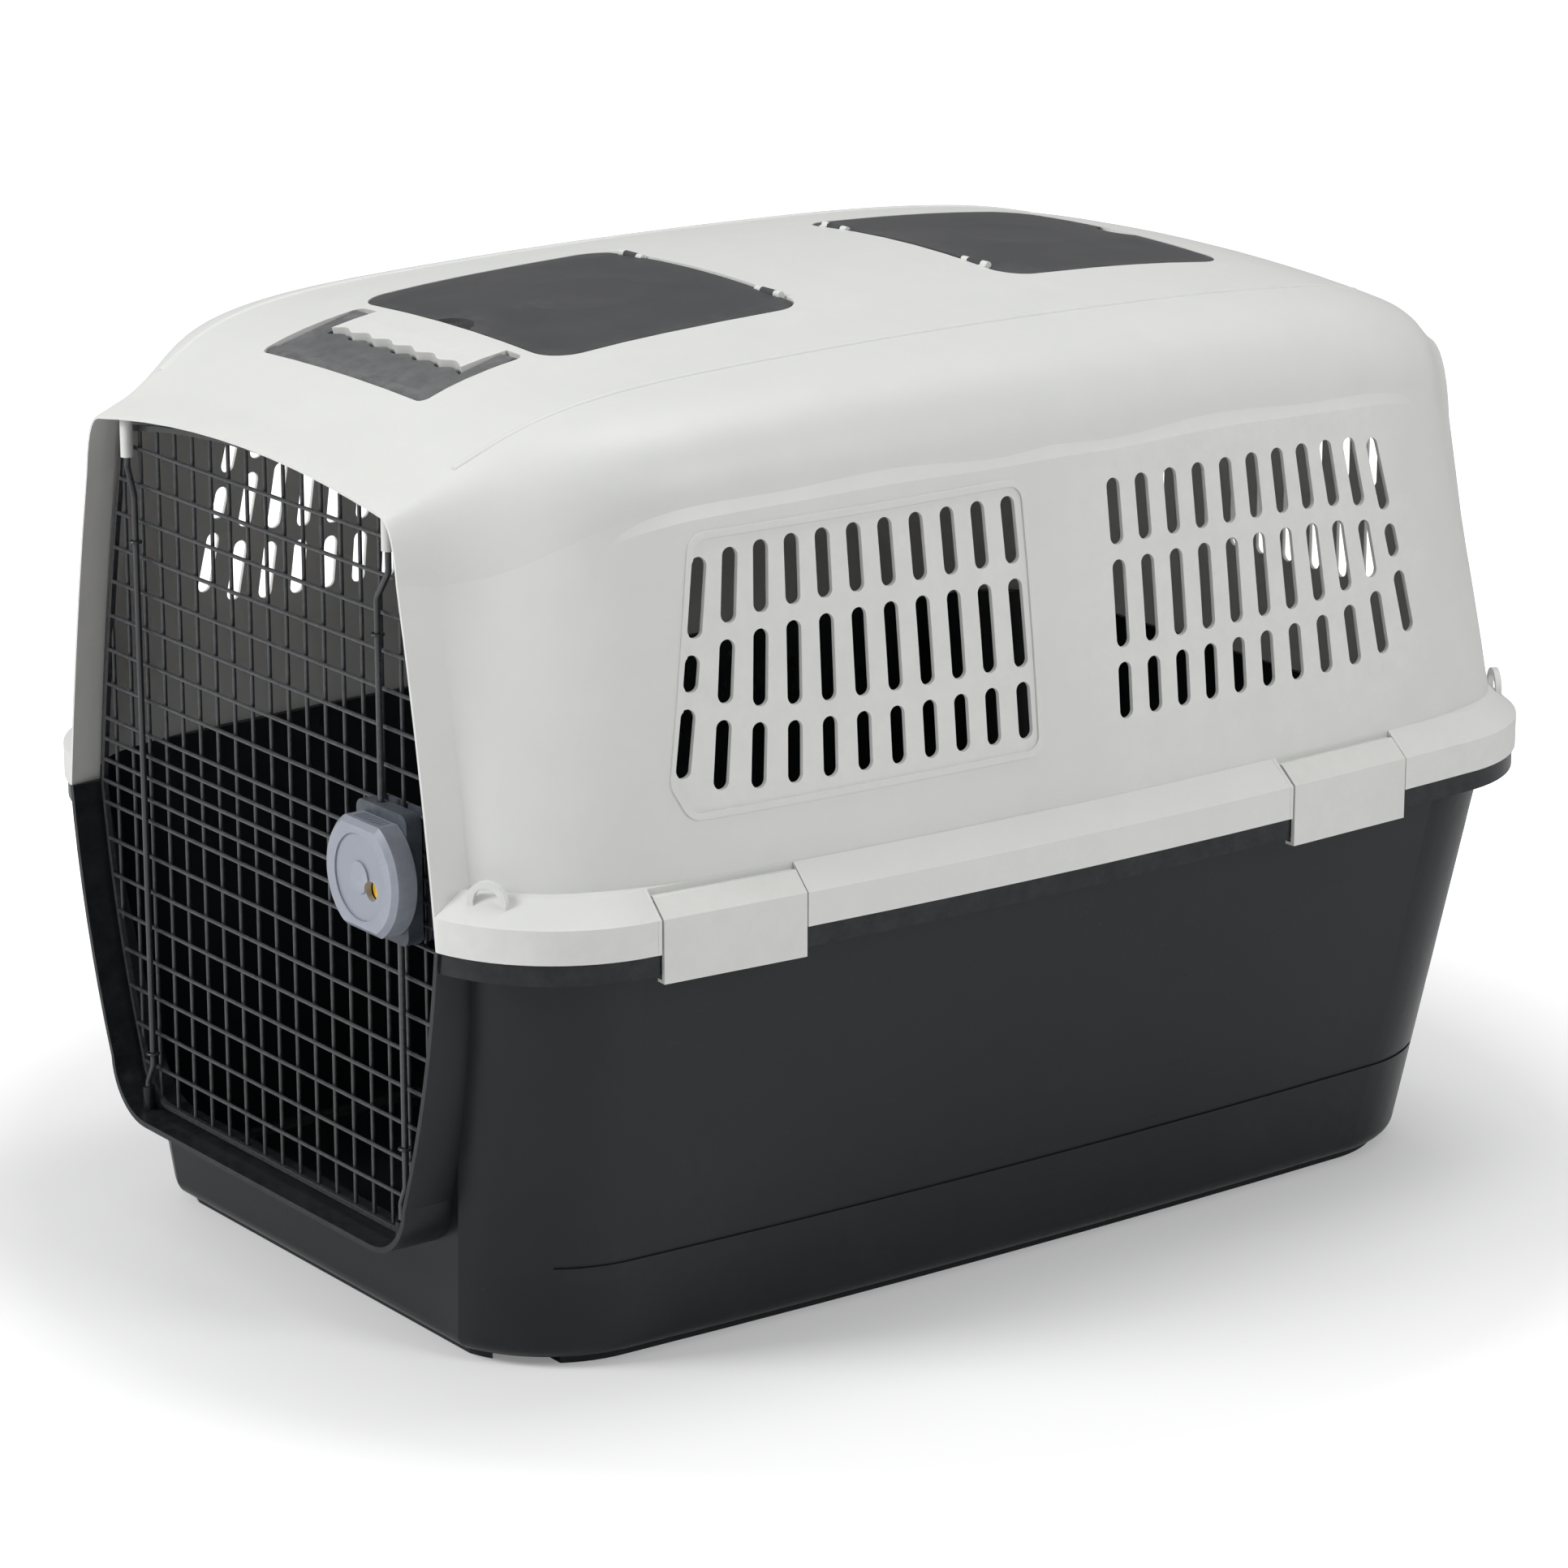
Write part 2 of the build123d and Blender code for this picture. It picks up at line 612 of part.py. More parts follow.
def hatch_ledges(core, under):
    """Ledges that the hatches rest on, and the bosses that hold their pins."""
    with BuildPart() as ledges:
        for span in HATCH_SPANS.values():
            add(roof_column(hatch_outline(span, -HATCH_LEDGE), ROOF_LOW, ROOF_HIGH))
            add(roof_column(hatch_outline(span, HATCH_LEDGE), ROOF_LOW, ROOF_HIGH), mode=Mode.SUBTRACT)
        add(core, mode=Mode.INTERSECT)
        add(under, mode=Mode.SUBTRACT)
    return ledges.part


def latch_plane(name, side):
    """Plane at a latch's middle on the rim face: x outwards, y along the rim, z up."""
    distance = LATCH_MIDDLES[name]
    sagitta = RIM_HALF_WIDTH - 367
    radius = ((LENGTH / 2 - 122) ** 2 + sagitta ** 2) / (2 * sagitta)
    offset_y = distance - LENGTH / 2
    x = RIM_HALF_WIDTH - radius + math.sqrt(radius ** 2 - offset_y ** 2)
    angle = math.asin(offset_y / radius)
    out = (side * math.cos(angle), math.sin(angle), 0)
    return Plane(origin=(side * x, at(distance), 0), x_dir=out, z_dir=(0, 0, 1))


def latch_planes():
    """Planes of all four latches."""
    return [latch_plane(name, side) for name in LATCH_MIDDLES for side in (-1, 1)]


def latch_profile(plane, start, width, points):
    """Bar along the rim with a given cross-section in (outwards, z)."""
    section = Plane(origin=plane.from_local_coords((0, start, 0)), x_dir=plane.x_dir, z_dir=-plane.y_dir)
    with BuildPart() as bar:
        with BuildSketch(section):
            with BuildLine():
                Polyline(*points, close=True)
            make_face()
        extrude(amount=-width)
    return bar.part


def axis_bar(plane, start, width, centre, radius):
    """Round bar along the rim, centred on (outwards, z)."""
    section = Plane(origin=plane.from_local_coords((0, start, 0)), x_dir=plane.x_dir, z_dir=-plane.y_dir)
    with BuildPart() as bar:
        with BuildSketch(section):
            with Locations(centre):
                Circle(radius)
        extrude(amount=-width)
    return bar.part


def latch_seat(plane):
    """Walls behind and beside a latch, added to the rim band."""
    half = LATCH_WIDTH / 2 + LATCH_GAP
    base = SEAM_Z
    back = [(-4.4, base), (-4.4, base + 24), (-22, base + 39), (-24, base + 39), (-24, base + 36),
            (-7, base + 21.5), (-7, base)]
    cheek = [(-0.2, base), (-0.2, base + RIM_FACE), (-RIM_SLOPE_IN, base + RIM_TOP), (-24, base + RIM_TOP),
             (-24, base)]
    with BuildPart() as seat:
        add(latch_profile(plane, -half - LATCH_CHEEK, 2 * (half + LATCH_CHEEK), back))
        for start in (-half - LATCH_CHEEK, half):
            add(latch_profile(plane, start, LATCH_CHEEK, cheek))
    return seat.part


def latch_pocket(plane):
    """Space that a latch lies in."""
    half = LATCH_WIDTH / 2 + LATCH_GAP
    base = SEAM_Z
    space = [(-4.4, base - 40), (-4.4, base + 24), (-22, base + 39), (-22, base + 46), (12, base + 46),
             (12, base - 40)]
    with BuildPart() as pocket:
        add(latch_profile(plane, -half, 2 * half, space))
        add(axis_bar(plane, -half, 2 * half, LATCH_AXIS, LATCH_KNUCKLE + 0.8))
    return pocket.part


def make_latch(plane):
    """Side clip: knuckle on the pin, plate over the rim, foot hooked under the flange."""
    base = SEAM_Z
    plate = [(-14.1, base + 39.2), (0.4, base + 26.4), (0.4, base - 22.5), (-9, base - 22.5),
             (-9, base - 20), (-3.2, base - 20), (-3.2, base + 24.8), (-16.5, base + 36)]
    half = LATCH_WIDTH / 2
    with BuildPart() as latch:
        add(latch_profile(plane, -half, LATCH_WIDTH, plate))
        add(axis_bar(plane, -half, LATCH_WIDTH, LATCH_AXIS, LATCH_KNUCKLE))
        add(axis_bar(plane, -half - 1, LATCH_WIDTH + 2, LATCH_AXIS, LATCH_PIN_RADIUS + PIN_CLEARANCE),
            mode=Mode.SUBTRACT)
    return latch.part


def tie_down_eyes():
    """Arched eyes on the four corners of the rim."""
    with BuildLine() as corner:
        ThreePointArc((COLLAR_HALF_WIDTH - 0.4 * EYE_INSET, at(EYE_INSET)),
                      (345 - 0.75 * EYE_INSET, at(54 + 0.65 * EYE_INSET)),
                      (367 - EYE_INSET, at(122 + 0.3 * EYE_INSET)))
    foot = corner.line @ EYE_SHARE
    along = corner.line % EYE_SHARE
    section = Plane(origin=(foot.X, foot.Y, SEAM_Z + RIM_TOP - 4), x_dir=along, z_dir=(along.Y, -along.X, 0))
    with BuildPart() as eyes:
        with BuildSketch(section):
            Circle(EYE_RADIUS)
            Circle(EYE_HOLE, mode=Mode.SUBTRACT)
            with Locations((0, EYE_RADIUS / 2 - 3)):
                Rectangle(2 * EYE_RADIUS, EYE_RADIUS + 6, mode=Mode.INTERSECT)
        extrude(amount=EYE_THICKNESS / 2, both=True)
        mirror(about=Plane.YZ)
        mirror(about=Plane.XZ.offset(-at(LENGTH / 2)))
    return eyes.part


def raised_beads(skin):
    """Raised borders of the side vent panels."""
    with BuildPart() as raised:
        add(vent_beads())
        add(skin, mode=Mode.INTERSECT)
    return raised.part


def roof_recess(span, under_lid):
    """Space that a hatch lies in, down to its ledge."""
    with BuildPart() as recess:
        add(roof_column(hatch_outline(span, 0), ROOF_LOW, ROOF_HIGH))
        add(under_lid, mode=Mode.SUBTRACT)
    return recess.part


def pocket_walls(body):
    """Walls round the handle's pocket and the upper rod posts, under the roof."""
    with BuildPart() as walls:
        add(handle_pocket(3, POCKET_DEPTH + 3))
        add(rod_post_cores(UPPER_POST_FOOT, 700, POST_RADIUS))
        add(body, mode=Mode.INTERSECT)
    return walls.part


def handle_space():
    """Pocket round the handle, without the tongue that stays in its middle."""
    with BuildPart() as space:
        add(handle_pocket(0, POCKET_DEPTH))
        extrude(to_extrude=handle_tongue(0), amount=POCKET_DEPTH + 4, both=True, mode=Mode.SUBTRACT)
    return space.part


def tongue_hollow(under_lid):
    """Hollow under the tongue, open to the cabin."""
    with BuildPart() as hollow:
        extrude(to_extrude=handle_tongue(-3), amount=POCKET_DEPTH + 8, both=True)
        add(under_lid, mode=Mode.INTERSECT)
    return hollow.part


def make_upper_shell(body, core, under_lid, under_ledge, skin):
    """Roof shell with rim, vents, hatch openings, handle pocket, latch seats and rod posts."""
    with BuildPart() as shell:
        add(body)
        add(rim_band())
        add(tie_down_eyes())
        add(raised_beads(skin))
        add(rim_channel(body), mode=Mode.SUBTRACT)
        add(core, mode=Mode.SUBTRACT)
        add(hatch_ledges(core, under_ledge))
        add(pocket_walls(body))
        for name, span in HATCH_SPANS.items():
            add(roof_column(hatch_outline(span, HATCH_LEDGE), ROOF_LOW, ROOF_HIGH), mode=Mode.SUBTRACT)
            add(roof_recess(span, under_lid), mode=Mode.SUBTRACT)
            add(hatch_cylinders(name, HATCH_KNUCKLE + 0.4, [HATCH_CLEAR_X]), mode=Mode.SUBTRACT)
            add(hatch_cylinders(name, HATCH_KNUCKLE - 0.1, HATCH_BOSSES_X))
            add(hatch_boss_webs(name))
            add(hatch_cylinders(name, HATCH_PIN_RADIUS + FIT, [HATCH_PIN_X]), mode=Mode.SUBTRACT)
        add(handle_space(), mode=Mode.SUBTRACT)
        add(tongue_hollow(under_lid), mode=Mode.SUBTRACT)
        add(handle_pin_bores(HANDLE_PIN_RADIUS + FIT), mode=Mode.SUBTRACT)
        add(side_vent_slots(), mode=Mode.SUBTRACT)
        add(rear_vent_slots(), mode=Mode.SUBTRACT)
        add(rod_post_cores(UPPER_POST_FOOT - 5, UPPER_POST_BORE, ROD_RADIUS + PIN_CLEARANCE),
            mode=Mode.SUBTRACT)
        for plane in latch_planes():
            add(latch_seat(plane))
            add(latch_pocket(plane), mode=Mode.SUBTRACT)
            add(axis_bar(plane, -LATCH_PIN_HALF, 2 * LATCH_PIN_HALF, LATCH_AXIS, LATCH_PIN_RADIUS + FIT),
                mode=Mode.SUBTRACT)
    return shell.part


def make_latch_pins():
    """One steel pin for each latch."""
    with BuildPart() as pins:
        for plane in latch_planes():
            add(axis_bar(plane, -LATCH_PIN_HALF, 2 * LATCH_PIN_HALF, LATCH_AXIS, LATCH_PIN_RADIUS))
    return pins.part


def make_hatch_pins():
    """Two pins for each hatch."""
    with BuildPart() as pins:
        for name in HATCH_SPANS:
            add(hatch_cylinders(name, HATCH_PIN_RADIUS, [HATCH_PIN_X]))
    return pins.part


def dish_centre(span, radius):
    """Centre of the sphere that hollows a hatch, square to the roof at the hatch's middle."""
    middle = sum(span) / 2
    slope = (roof_height(middle + 40) - roof_height(middle - 40)) / 80
    lift = (radius - DISH_DEPTH) / math.hypot(1, slope)
    return (0, at(middle) - slope * lift, roof_height(middle) - HATCH_SUNK + lift)


def make_roof_hatch(name, body, under_lid):
    """Hatch lid: curved plate with two knuckles, a finger notch and a shallow dish."""
    span = HATCH_SPANS[name]
    outward = -1 if name == "front" else 1
    free_y = at(span[0] + HATCH_GAP if name == "front" else span[1] - HATCH_GAP)
    hinge_y = hatch_hinge_y(name)
    notch = (NOTCH_HALF_WIDTH ** 2 + NOTCH_DEPTH ** 2) / (2 * NOTCH_DEPTH)
    dish = (DISH_RADIUS ** 2 + DISH_DEPTH ** 2) / (2 * DISH_DEPTH)
    with BuildPart() as lid:
        add(roof_column(hatch_outline(span, HATCH_GAP), ROOF_LOW, ROOF_HIGH))
        add(lifted(body, -HATCH_SUNK), mode=Mode.INTERSECT)
        add(lifted(under_lid, HATCH_REST_GAP), mode=Mode.SUBTRACT)
        with Locations((0, hinge_y - outward * 49, HATCH_AXIS_Z)):
            Box(4 * HATCH_HALF_WIDTH, 100, 100, mode=Mode.SUBTRACT)
        for low, high in HATCH_BOSSES_X:
            with Locations(*[(side * (low + high) / 2, hinge_y, HATCH_AXIS_Z) for side in (-1, 1)]):
                Box(high - low + 1, 2 * HATCH_KNUCKLE + 1.2, 40, mode=Mode.SUBTRACT)
        with Locations((0, free_y + outward * (notch - NOTCH_DEPTH), HATCH_AXIS_Z)):
            Cylinder(notch, 100, mode=Mode.SUBTRACT)
        with Locations(dish_centre(span, dish)):
            Sphere(dish, mode=Mode.SUBTRACT)
        add(hatch_cylinders(name, HATCH_KNUCKLE, [HATCH_KNUCKLES_X]))
        add(hatch_cylinders(name, HATCH_PIN_RADIUS + PIN_CLEARANCE, [HATCH_PIN_X]), mode=Mode.SUBTRACT)
    return lid.part


def make_carry_handle():
    """Paddle with a thick front bar and two arms that end in round knuckles."""
    plane = handle_plane()
    bar_place = plane.from_local_coords((-HANDLE_HALF_WIDTH, HANDLE_BAR[0] / 2 - HANDLE_REACH, HANDLE_BAR_Z))
    with BuildPart() as handle:
        with BuildSketch(plane.offset(-HANDLE_PLATE)):
            with Locations((0, 2 - HANDLE_REACH / 2)):
                Rectangle(2 * HANDLE_HALF_WIDTH, HANDLE_REACH - 4)
        extrude(amount=HANDLE_PLATE)
        with BuildSketch(Plane(origin=bar_place, x_dir=plane.y_dir, z_dir=plane.x_dir)):
            RectangleRounded(*HANDLE_BAR, 5)
        extrude(amount=2 * HANDLE_HALF_WIDTH)
        with BuildSketch(Plane.YZ.offset(-HANDLE_HALF_WIDTH)):
            with Locations((HANDLE_AXIS_Y, HANDLE_AXIS_Z)):
                Circle(HANDLE_KNUCKLE)
        extrude(amount=2 * HANDLE_HALF_WIDTH)
        extrude(to_extrude=handle_tongue(TONGUE_GAP), amount=30, both=True, mode=Mode.SUBTRACT)
        add(handle_pin_bores(HANDLE_PIN_RADIUS + PIN_CLEARANCE), mode=Mode.SUBTRACT)
    return handle.part


def door_prism(inset, low_y, high_y):
    """Solid of the doorway's outline moved inwards, between two values of Y."""
    lower = collar_face(inset, low_y - FRONT)
    upper = body_section(STATIONS[0], low_y - FRONT, inset, SEAM_Z)
    with BuildPart() as prism:
        extrude(to_extrude=lower, amount=high_y - low_y, dir=(0, 1, 0))
        extrude(to_extrude=upper, amount=high_y - low_y, dir=(0, 1, 0))
    return prism.part


def make_door_frame_wire():
    """Outer ring of the door."""
    low = FRAME_WIRE_Y - FRAME_RADIUS
    high = FRAME_WIRE_Y + FRAME_RADIUS
    with BuildPart() as ring:
        add(door_prism(DOOR_GAP, low, high))
        add(door_prism(DOOR_GAP + 2 * FRAME_RADIUS, low, high), mode=Mode.SUBTRACT)
    return ring.part


def door_mesh_room():
    """Space inside the door's outer ring."""
    return door_prism(DOOR_GAP + 2 * FRAME_RADIUS + 0.05, FRAME_WIRE_Y - 10, FRAME_WIRE_Y + 10)


def cross_heights():
    """Heights of the cross wires, closer together beside the lock."""
    heights = [FIRST_CROSS_Z]
    for count, pitch in CROSS_PITCHES:
        for _ in range(count):
            heights.append(heights[-1] + pitch)
    return heights


def make_door_cross_wires():
    """Wires that run across the door."""
    with BuildPart() as wires:
        with BuildSketch(Plane.YZ.offset(-COLLAR_HALF_WIDTH)):
            with Locations(*[(CROSS_WIRE_Y, height) for height in cross_heights()]):
                Circle(WIRE_RADIUS)
        extrude(amount=2 * COLLAR_HALF_WIDTH)
        add(door_mesh_room(), mode=Mode.INTERSECT)
    return wires.part


def make_door_upright_wires():
    """Wires that run up the door."""
    with BuildPart() as wires:
        with BuildSketch(Plane.XY.offset(COLLAR_FLOOR_Z)):
            for index in range(-UPRIGHTS_EACH_SIDE, UPRIGHTS_EACH_SIDE + 1):
                with Locations((index * UPRIGHT_PITCH, UPRIGHT_WIRE_Y)):
                    Circle(WIRE_RADIUS)
        extrude(amount=ROOF_LOW)
        add(door_mesh_room(), mode=Mode.INTERSECT)
    return wires.part


def bent_rod(stops):
    """Round rod in the rods' plane through a list of (x, z) places."""
    with BuildPart() as rod:
        with BuildLine() as path:
            FilletPolyline(*[(x, ROD_Y, z) for x, z in stops], radius=ROD_BEND)
        with BuildSketch(Plane(origin=path.line @ 0, z_dir=path.line % 0)):
            Circle(ROD_RADIUS)
        sweep(path=path.line)
    return rod.part


def make_hinge_rod():
    """Rod that turns in the left posts, set in from them along the door."""
    low, high = LOWER_POST_TOP, UPPER_POST_FOOT
    return bent_rod([
        (-DOOR_PIN_X, LOWER_POST_BORE + 1), (-DOOR_PIN_X, low + 4), (-HINGE_ROD_X, low + 20),
        (-HINGE_ROD_X, high - 29), (-DOOR_PIN_X, high - 8), (-DOOR_PIN_X, UPPER_POST_BORE - 1),
    ])


def make_upper_bolt():
    """Rod from the upper rack to just under the upper post."""
    x = LOCK_X - BOLT_OFFSET
    start, end = BOLT_BENDS[0]
    return bent_rod([(x, LOCK_Z + RACK_REACH[0]), (x, start), (DOOR_PIN_X, end),
                     (DOOR_PIN_X, UPPER_POST_FOOT - BOLT_TIP_GAP)])


def make_lower_bolt():
    """Rod from the lower rack to just over the lower post."""
    x = LOCK_X + BOLT_OFFSET
    start, end = BOLT_BENDS[1]
    return bent_rod([(x, LOCK_Z - RACK_REACH[0]), (x, start), (DOOR_PIN_X, end),
                     (DOOR_PIN_X, LOWER_POST_TOP + BOLT_TIP_GAP)])


def make_rod_guides():
    """Wire rings that the rods run through, each midway between two cross wires."""
    heights = cross_heights()
    midway = lambda index: (heights[index] + heights[index + 1]) / 2
    places = [(-HINGE_ROD_X, midway(-4)), (-HINGE_ROD_X, midway(1)), (LOCK_X - BOLT_OFFSET, midway(-4)),
              (LOCK_X + BOLT_OFFSET, midway(2))]
    with BuildPart() as guides:
        with Locations(*[(x, ROD_Y, z) for x, z in places]):
            Torus(GUIDE_RADIUS, GUIDE_WIRE)
    return guides.part


def lock_plane(y):
    """Plane across the lock's axis: +x to the right, +y up, facing out of the door."""
    return Plane(origin=(LOCK_X, y, LOCK_Z), x_dir=(1, 0, 0), z_dir=(0, -1, 0))


def make_lock_housing():
    """Block between the dial and the wires, with room for the racks and the pinion."""
    with BuildPart() as housing:
        with BuildSketch(lock_plane(HOUSING_FRONT)):
            RectangleRounded(2 * HOUSING_HALF_WIDTH, 2 * HOUSING_HALF_HEIGHT, 8)
        extrude(amount=HOUSING_FRONT - HOUSING_BACK)
        with BuildSketch(lock_plane(HOUSING_FRONT + HOUSING_PLATE)):
            Rectangle(*HOUSING_ROOM)
        extrude(amount=-DIAL_DEPTH, mode=Mode.SUBTRACT)
        with BuildSketch(lock_plane(HOUSING_FRONT)):
            Circle(HUB_RADIUS + PIN_CLEARANCE)
        extrude(amount=-HOUSING_PLATE, mode=Mode.SUBTRACT)
        with BuildSketch(lock_plane(HOUSING_BACK)):
            with Locations(*SCREW_PLACES):
                Circle(SCREW_RADIUS + FIT)
        extrude(amount=SCREW_REACH + 0.5, mode=Mode.SUBTRACT)
        for side in (-1, 1):
            with Locations((LOCK_X + side * BOLT_OFFSET, ROD_Y, LOCK_Z - side * HOUSING_HALF_HEIGHT)):
                Cylinder(ROD_RADIUS + 0.7, 30, mode=Mode.SUBTRACT)
    return housing.part


def make_lock_back_plate():
    """Plate inside the door that the housing is screwed to."""
    with BuildPart() as plate:
        with BuildSketch(lock_plane(BACK_PLATE_FRONT)):
            RectangleRounded(2 * HOUSING_HALF_WIDTH, 2 * HOUSING_HALF_HEIGHT, 8)
            with Locations(*SCREW_PLACES):
                Circle(SCREW_RADIUS + FIT, mode=Mode.SUBTRACT)
        extrude(amount=-BACK_PLATE_THICKNESS)
    return plate.part


def make_lock_screws():
    """Four screws through the wires, from the back plate into the housing."""
    seat = BACK_PLATE_FRONT + BACK_PLATE_THICKNESS
    with BuildPart() as screws:
        with BuildSketch(lock_plane(seat)):
            with Locations(*SCREW_PLACES):
                Circle(SCREW_RADIUS)
        extrude(amount=seat - HOUSING_BACK + SCREW_REACH)
        with BuildSketch(lock_plane(seat)):
            with Locations(*SCREW_PLACES):
                Circle(SCREW_HEAD)
        extrude(amount=-2.2)
    return screws.part


def make_lock_indicator():
    """Stud on the housing that shows through the dial's window."""
    with BuildPart() as stud:
        with BuildSketch(lock_plane(HOUSING_FRONT)):
            with Locations(WINDOW_PLACE):
                Circle(INDICATOR_RADIUS)
        extrude(amount=HOUSING_FRONT - DIAL_FRONT - DIAL_PLATE - 2)
    return stud.part


def make_lock_dial():
    """Dial: bevelled cap, dished face with a window, and a hub to the pinion."""
    hub_end = ROD_Y - PINION_WIDTH / 2
    with BuildPart() as dial:
        with BuildSketch(lock_plane(DIAL_FRONT)):
            Circle(DIAL_RADIUS)
            Rectangle(2 * DIAL_RADIUS, 2 * DIAL_FLAT, mode=Mode.INTERSECT)
        extrude(amount=-DIAL_DEPTH)
        chamfer(dial.faces().sort_by(Axis.Y)[0].edges(), DIAL_BEVEL)
        with BuildSketch(lock_plane(DIAL_FRONT + DIAL_PLATE)):
            Circle(DIAL_RADIUS - DIAL_RIM)
            Rectangle(2 * DIAL_RADIUS, 2 * (DIAL_FLAT - DIAL_RIM), mode=Mode.INTERSECT)
        extrude(amount=-DIAL_DEPTH, mode=Mode.SUBTRACT)
        with BuildSketch(lock_plane(DIAL_FRONT)):
            Circle(DIAL_DISH)
            Circle(DIAL_DISC, mode=Mode.SUBTRACT)
        extrude(amount=-DIAL_DISH_DEPTH, mode=Mode.SUBTRACT)
        with BuildSketch(lock_plane(hub_end)):
            Circle(HUB_RADIUS)
        extrude(amount=hub_end - DIAL_FRONT - DIAL_PLATE + 1)
        with BuildSketch(lock_plane(hub_end)):
            Circle(DIAL_SCREW_RADIUS + FIT)
        extrude(amount=10, mode=Mode.SUBTRACT)
        with BuildSketch(lock_plane(DIAL_FRONT)):
            with Locations(WINDOW_PLACE):
                Circle(WINDOW_RADIUS)
        extrude(amount=-DIAL_PLATE - 1, mode=Mode.SUBTRACT)
        for side in (-1, 1):
            with Locations(*[(LOCK_X + 4 * step, DIAL_FRONT + DIAL_DEPTH / 2 + 3, LOCK_Z + side * DIAL_FLAT)
                             for step in range(-4, 5)]):
                Box(1.6, DIAL_DEPTH - 9, 1.6, mode=Mode.SUBTRACT)
    return dial.part


def half_tooth_angle(radius):
    """Half the angle that a pinion tooth covers at a radius, less the backlash."""
    base = PITCH_RADIUS * math.cos(PRESSURE_ANGLE)
    local = math.acos(base / max(radius, base))
    rise = math.tan(PRESSURE_ANGLE) - PRESSURE_ANGLE - math.tan(local) + local
    return math.pi / (2 * PINION_TEETH) + rise - BACKLASH / radius


def make_dial_pinion():
    """Pinion on the dial's hub, with involute flanks."""
    radii = [PITCH_RADIUS - 1.1 * GEAR_MODULE, PITCH_RADIUS - 0.3 * GEAR_MODULE, PITCH_RADIUS,
             PITCH_RADIUS + 0.4 * GEAR_MODULE, PITCH_RADIUS + 0.8 * GEAR_MODULE]
    points = []
    for tooth in range(PINION_TEETH):
        middle = 2 * math.pi * tooth / PINION_TEETH
        flank = [(radius, half_tooth_angle(radius)) for radius in radii]
        for radius, angle in [(r, -a) for r, a in flank] + flank[::-1]:
            points.append((radius * math.cos(middle + angle), radius * math.sin(middle + angle)))
    with BuildPart() as pinion:
        with BuildSketch(lock_plane(ROD_Y - PINION_WIDTH / 2)):
            with BuildLine():
                Polyline(*points, close=True)
            make_face()
            Circle(DIAL_SCREW_RADIUS + FIT, mode=Mode.SUBTRACT)
        extrude(amount=-PINION_WIDTH)
    return pinion.part


def make_dial_screw():
    """Screw that holds the pinion on the dial's hub."""
    with BuildPart() as screw:
        with BuildSketch(lock_plane(ROD_Y + PINION_WIDTH / 2)):
            Circle(DIAL_SCREW_RADIUS)
        extrude(amount=PINION_WIDTH + 9)
        with BuildSketch(lock_plane(ROD_Y + PINION_WIDTH / 2)):
            Circle(2 * DIAL_SCREW_RADIUS)
        extrude(amount=-2)
    return screw.part


def make_bolt_rack(side):
    """Rack at one side of the pinion: -1 drives the upper bolt, 1 the lower."""
    pitch = math.pi * GEAR_MODULE
    tip = PITCH_RADIUS - 0.8 * GEAR_MODULE
    root = PITCH_RADIUS + 1.1 * GEAR_MODULE
    low, high = (-RACK_REACH[1], RACK_REACH[0]) if side < 0 else (-RACK_REACH[0], RACK_REACH[1])
    points = [(RACK_BACK, low), (RACK_BACK, high), (root, high)]
    for step in range(2, -4, -1) if side < 0 else range(3, -3, -1):
        middle = (step - 0.5) * pitch
        for x, sign in ((root, 1), (tip, 1), (tip, -1), (root, -1)):
            half = pitch / 4 - BACKLASH + (x - PITCH_RADIUS) * math.tan(PRESSURE_ANGLE)
            points.append((x, middle + sign * half))
    points.append((root, low))
    with BuildPart() as rack:
        with BuildSketch(lock_plane(ROD_Y - RACK_WIDTH / 2)):
            with BuildLine():
                Polyline(*[(side * x, z) for x, z in points], close=True)
            make_face()
        extrude(amount=-RACK_WIDTH)
    return rack.part


def save(part, name):
    """Label a finished piece and write its STEP file."""
    part.label = name
    export_step(part, f"parts/{name}.step")
    print(name, len(part.solids()), round(part.volume / 1000, 2), part.is_valid, flush=True)


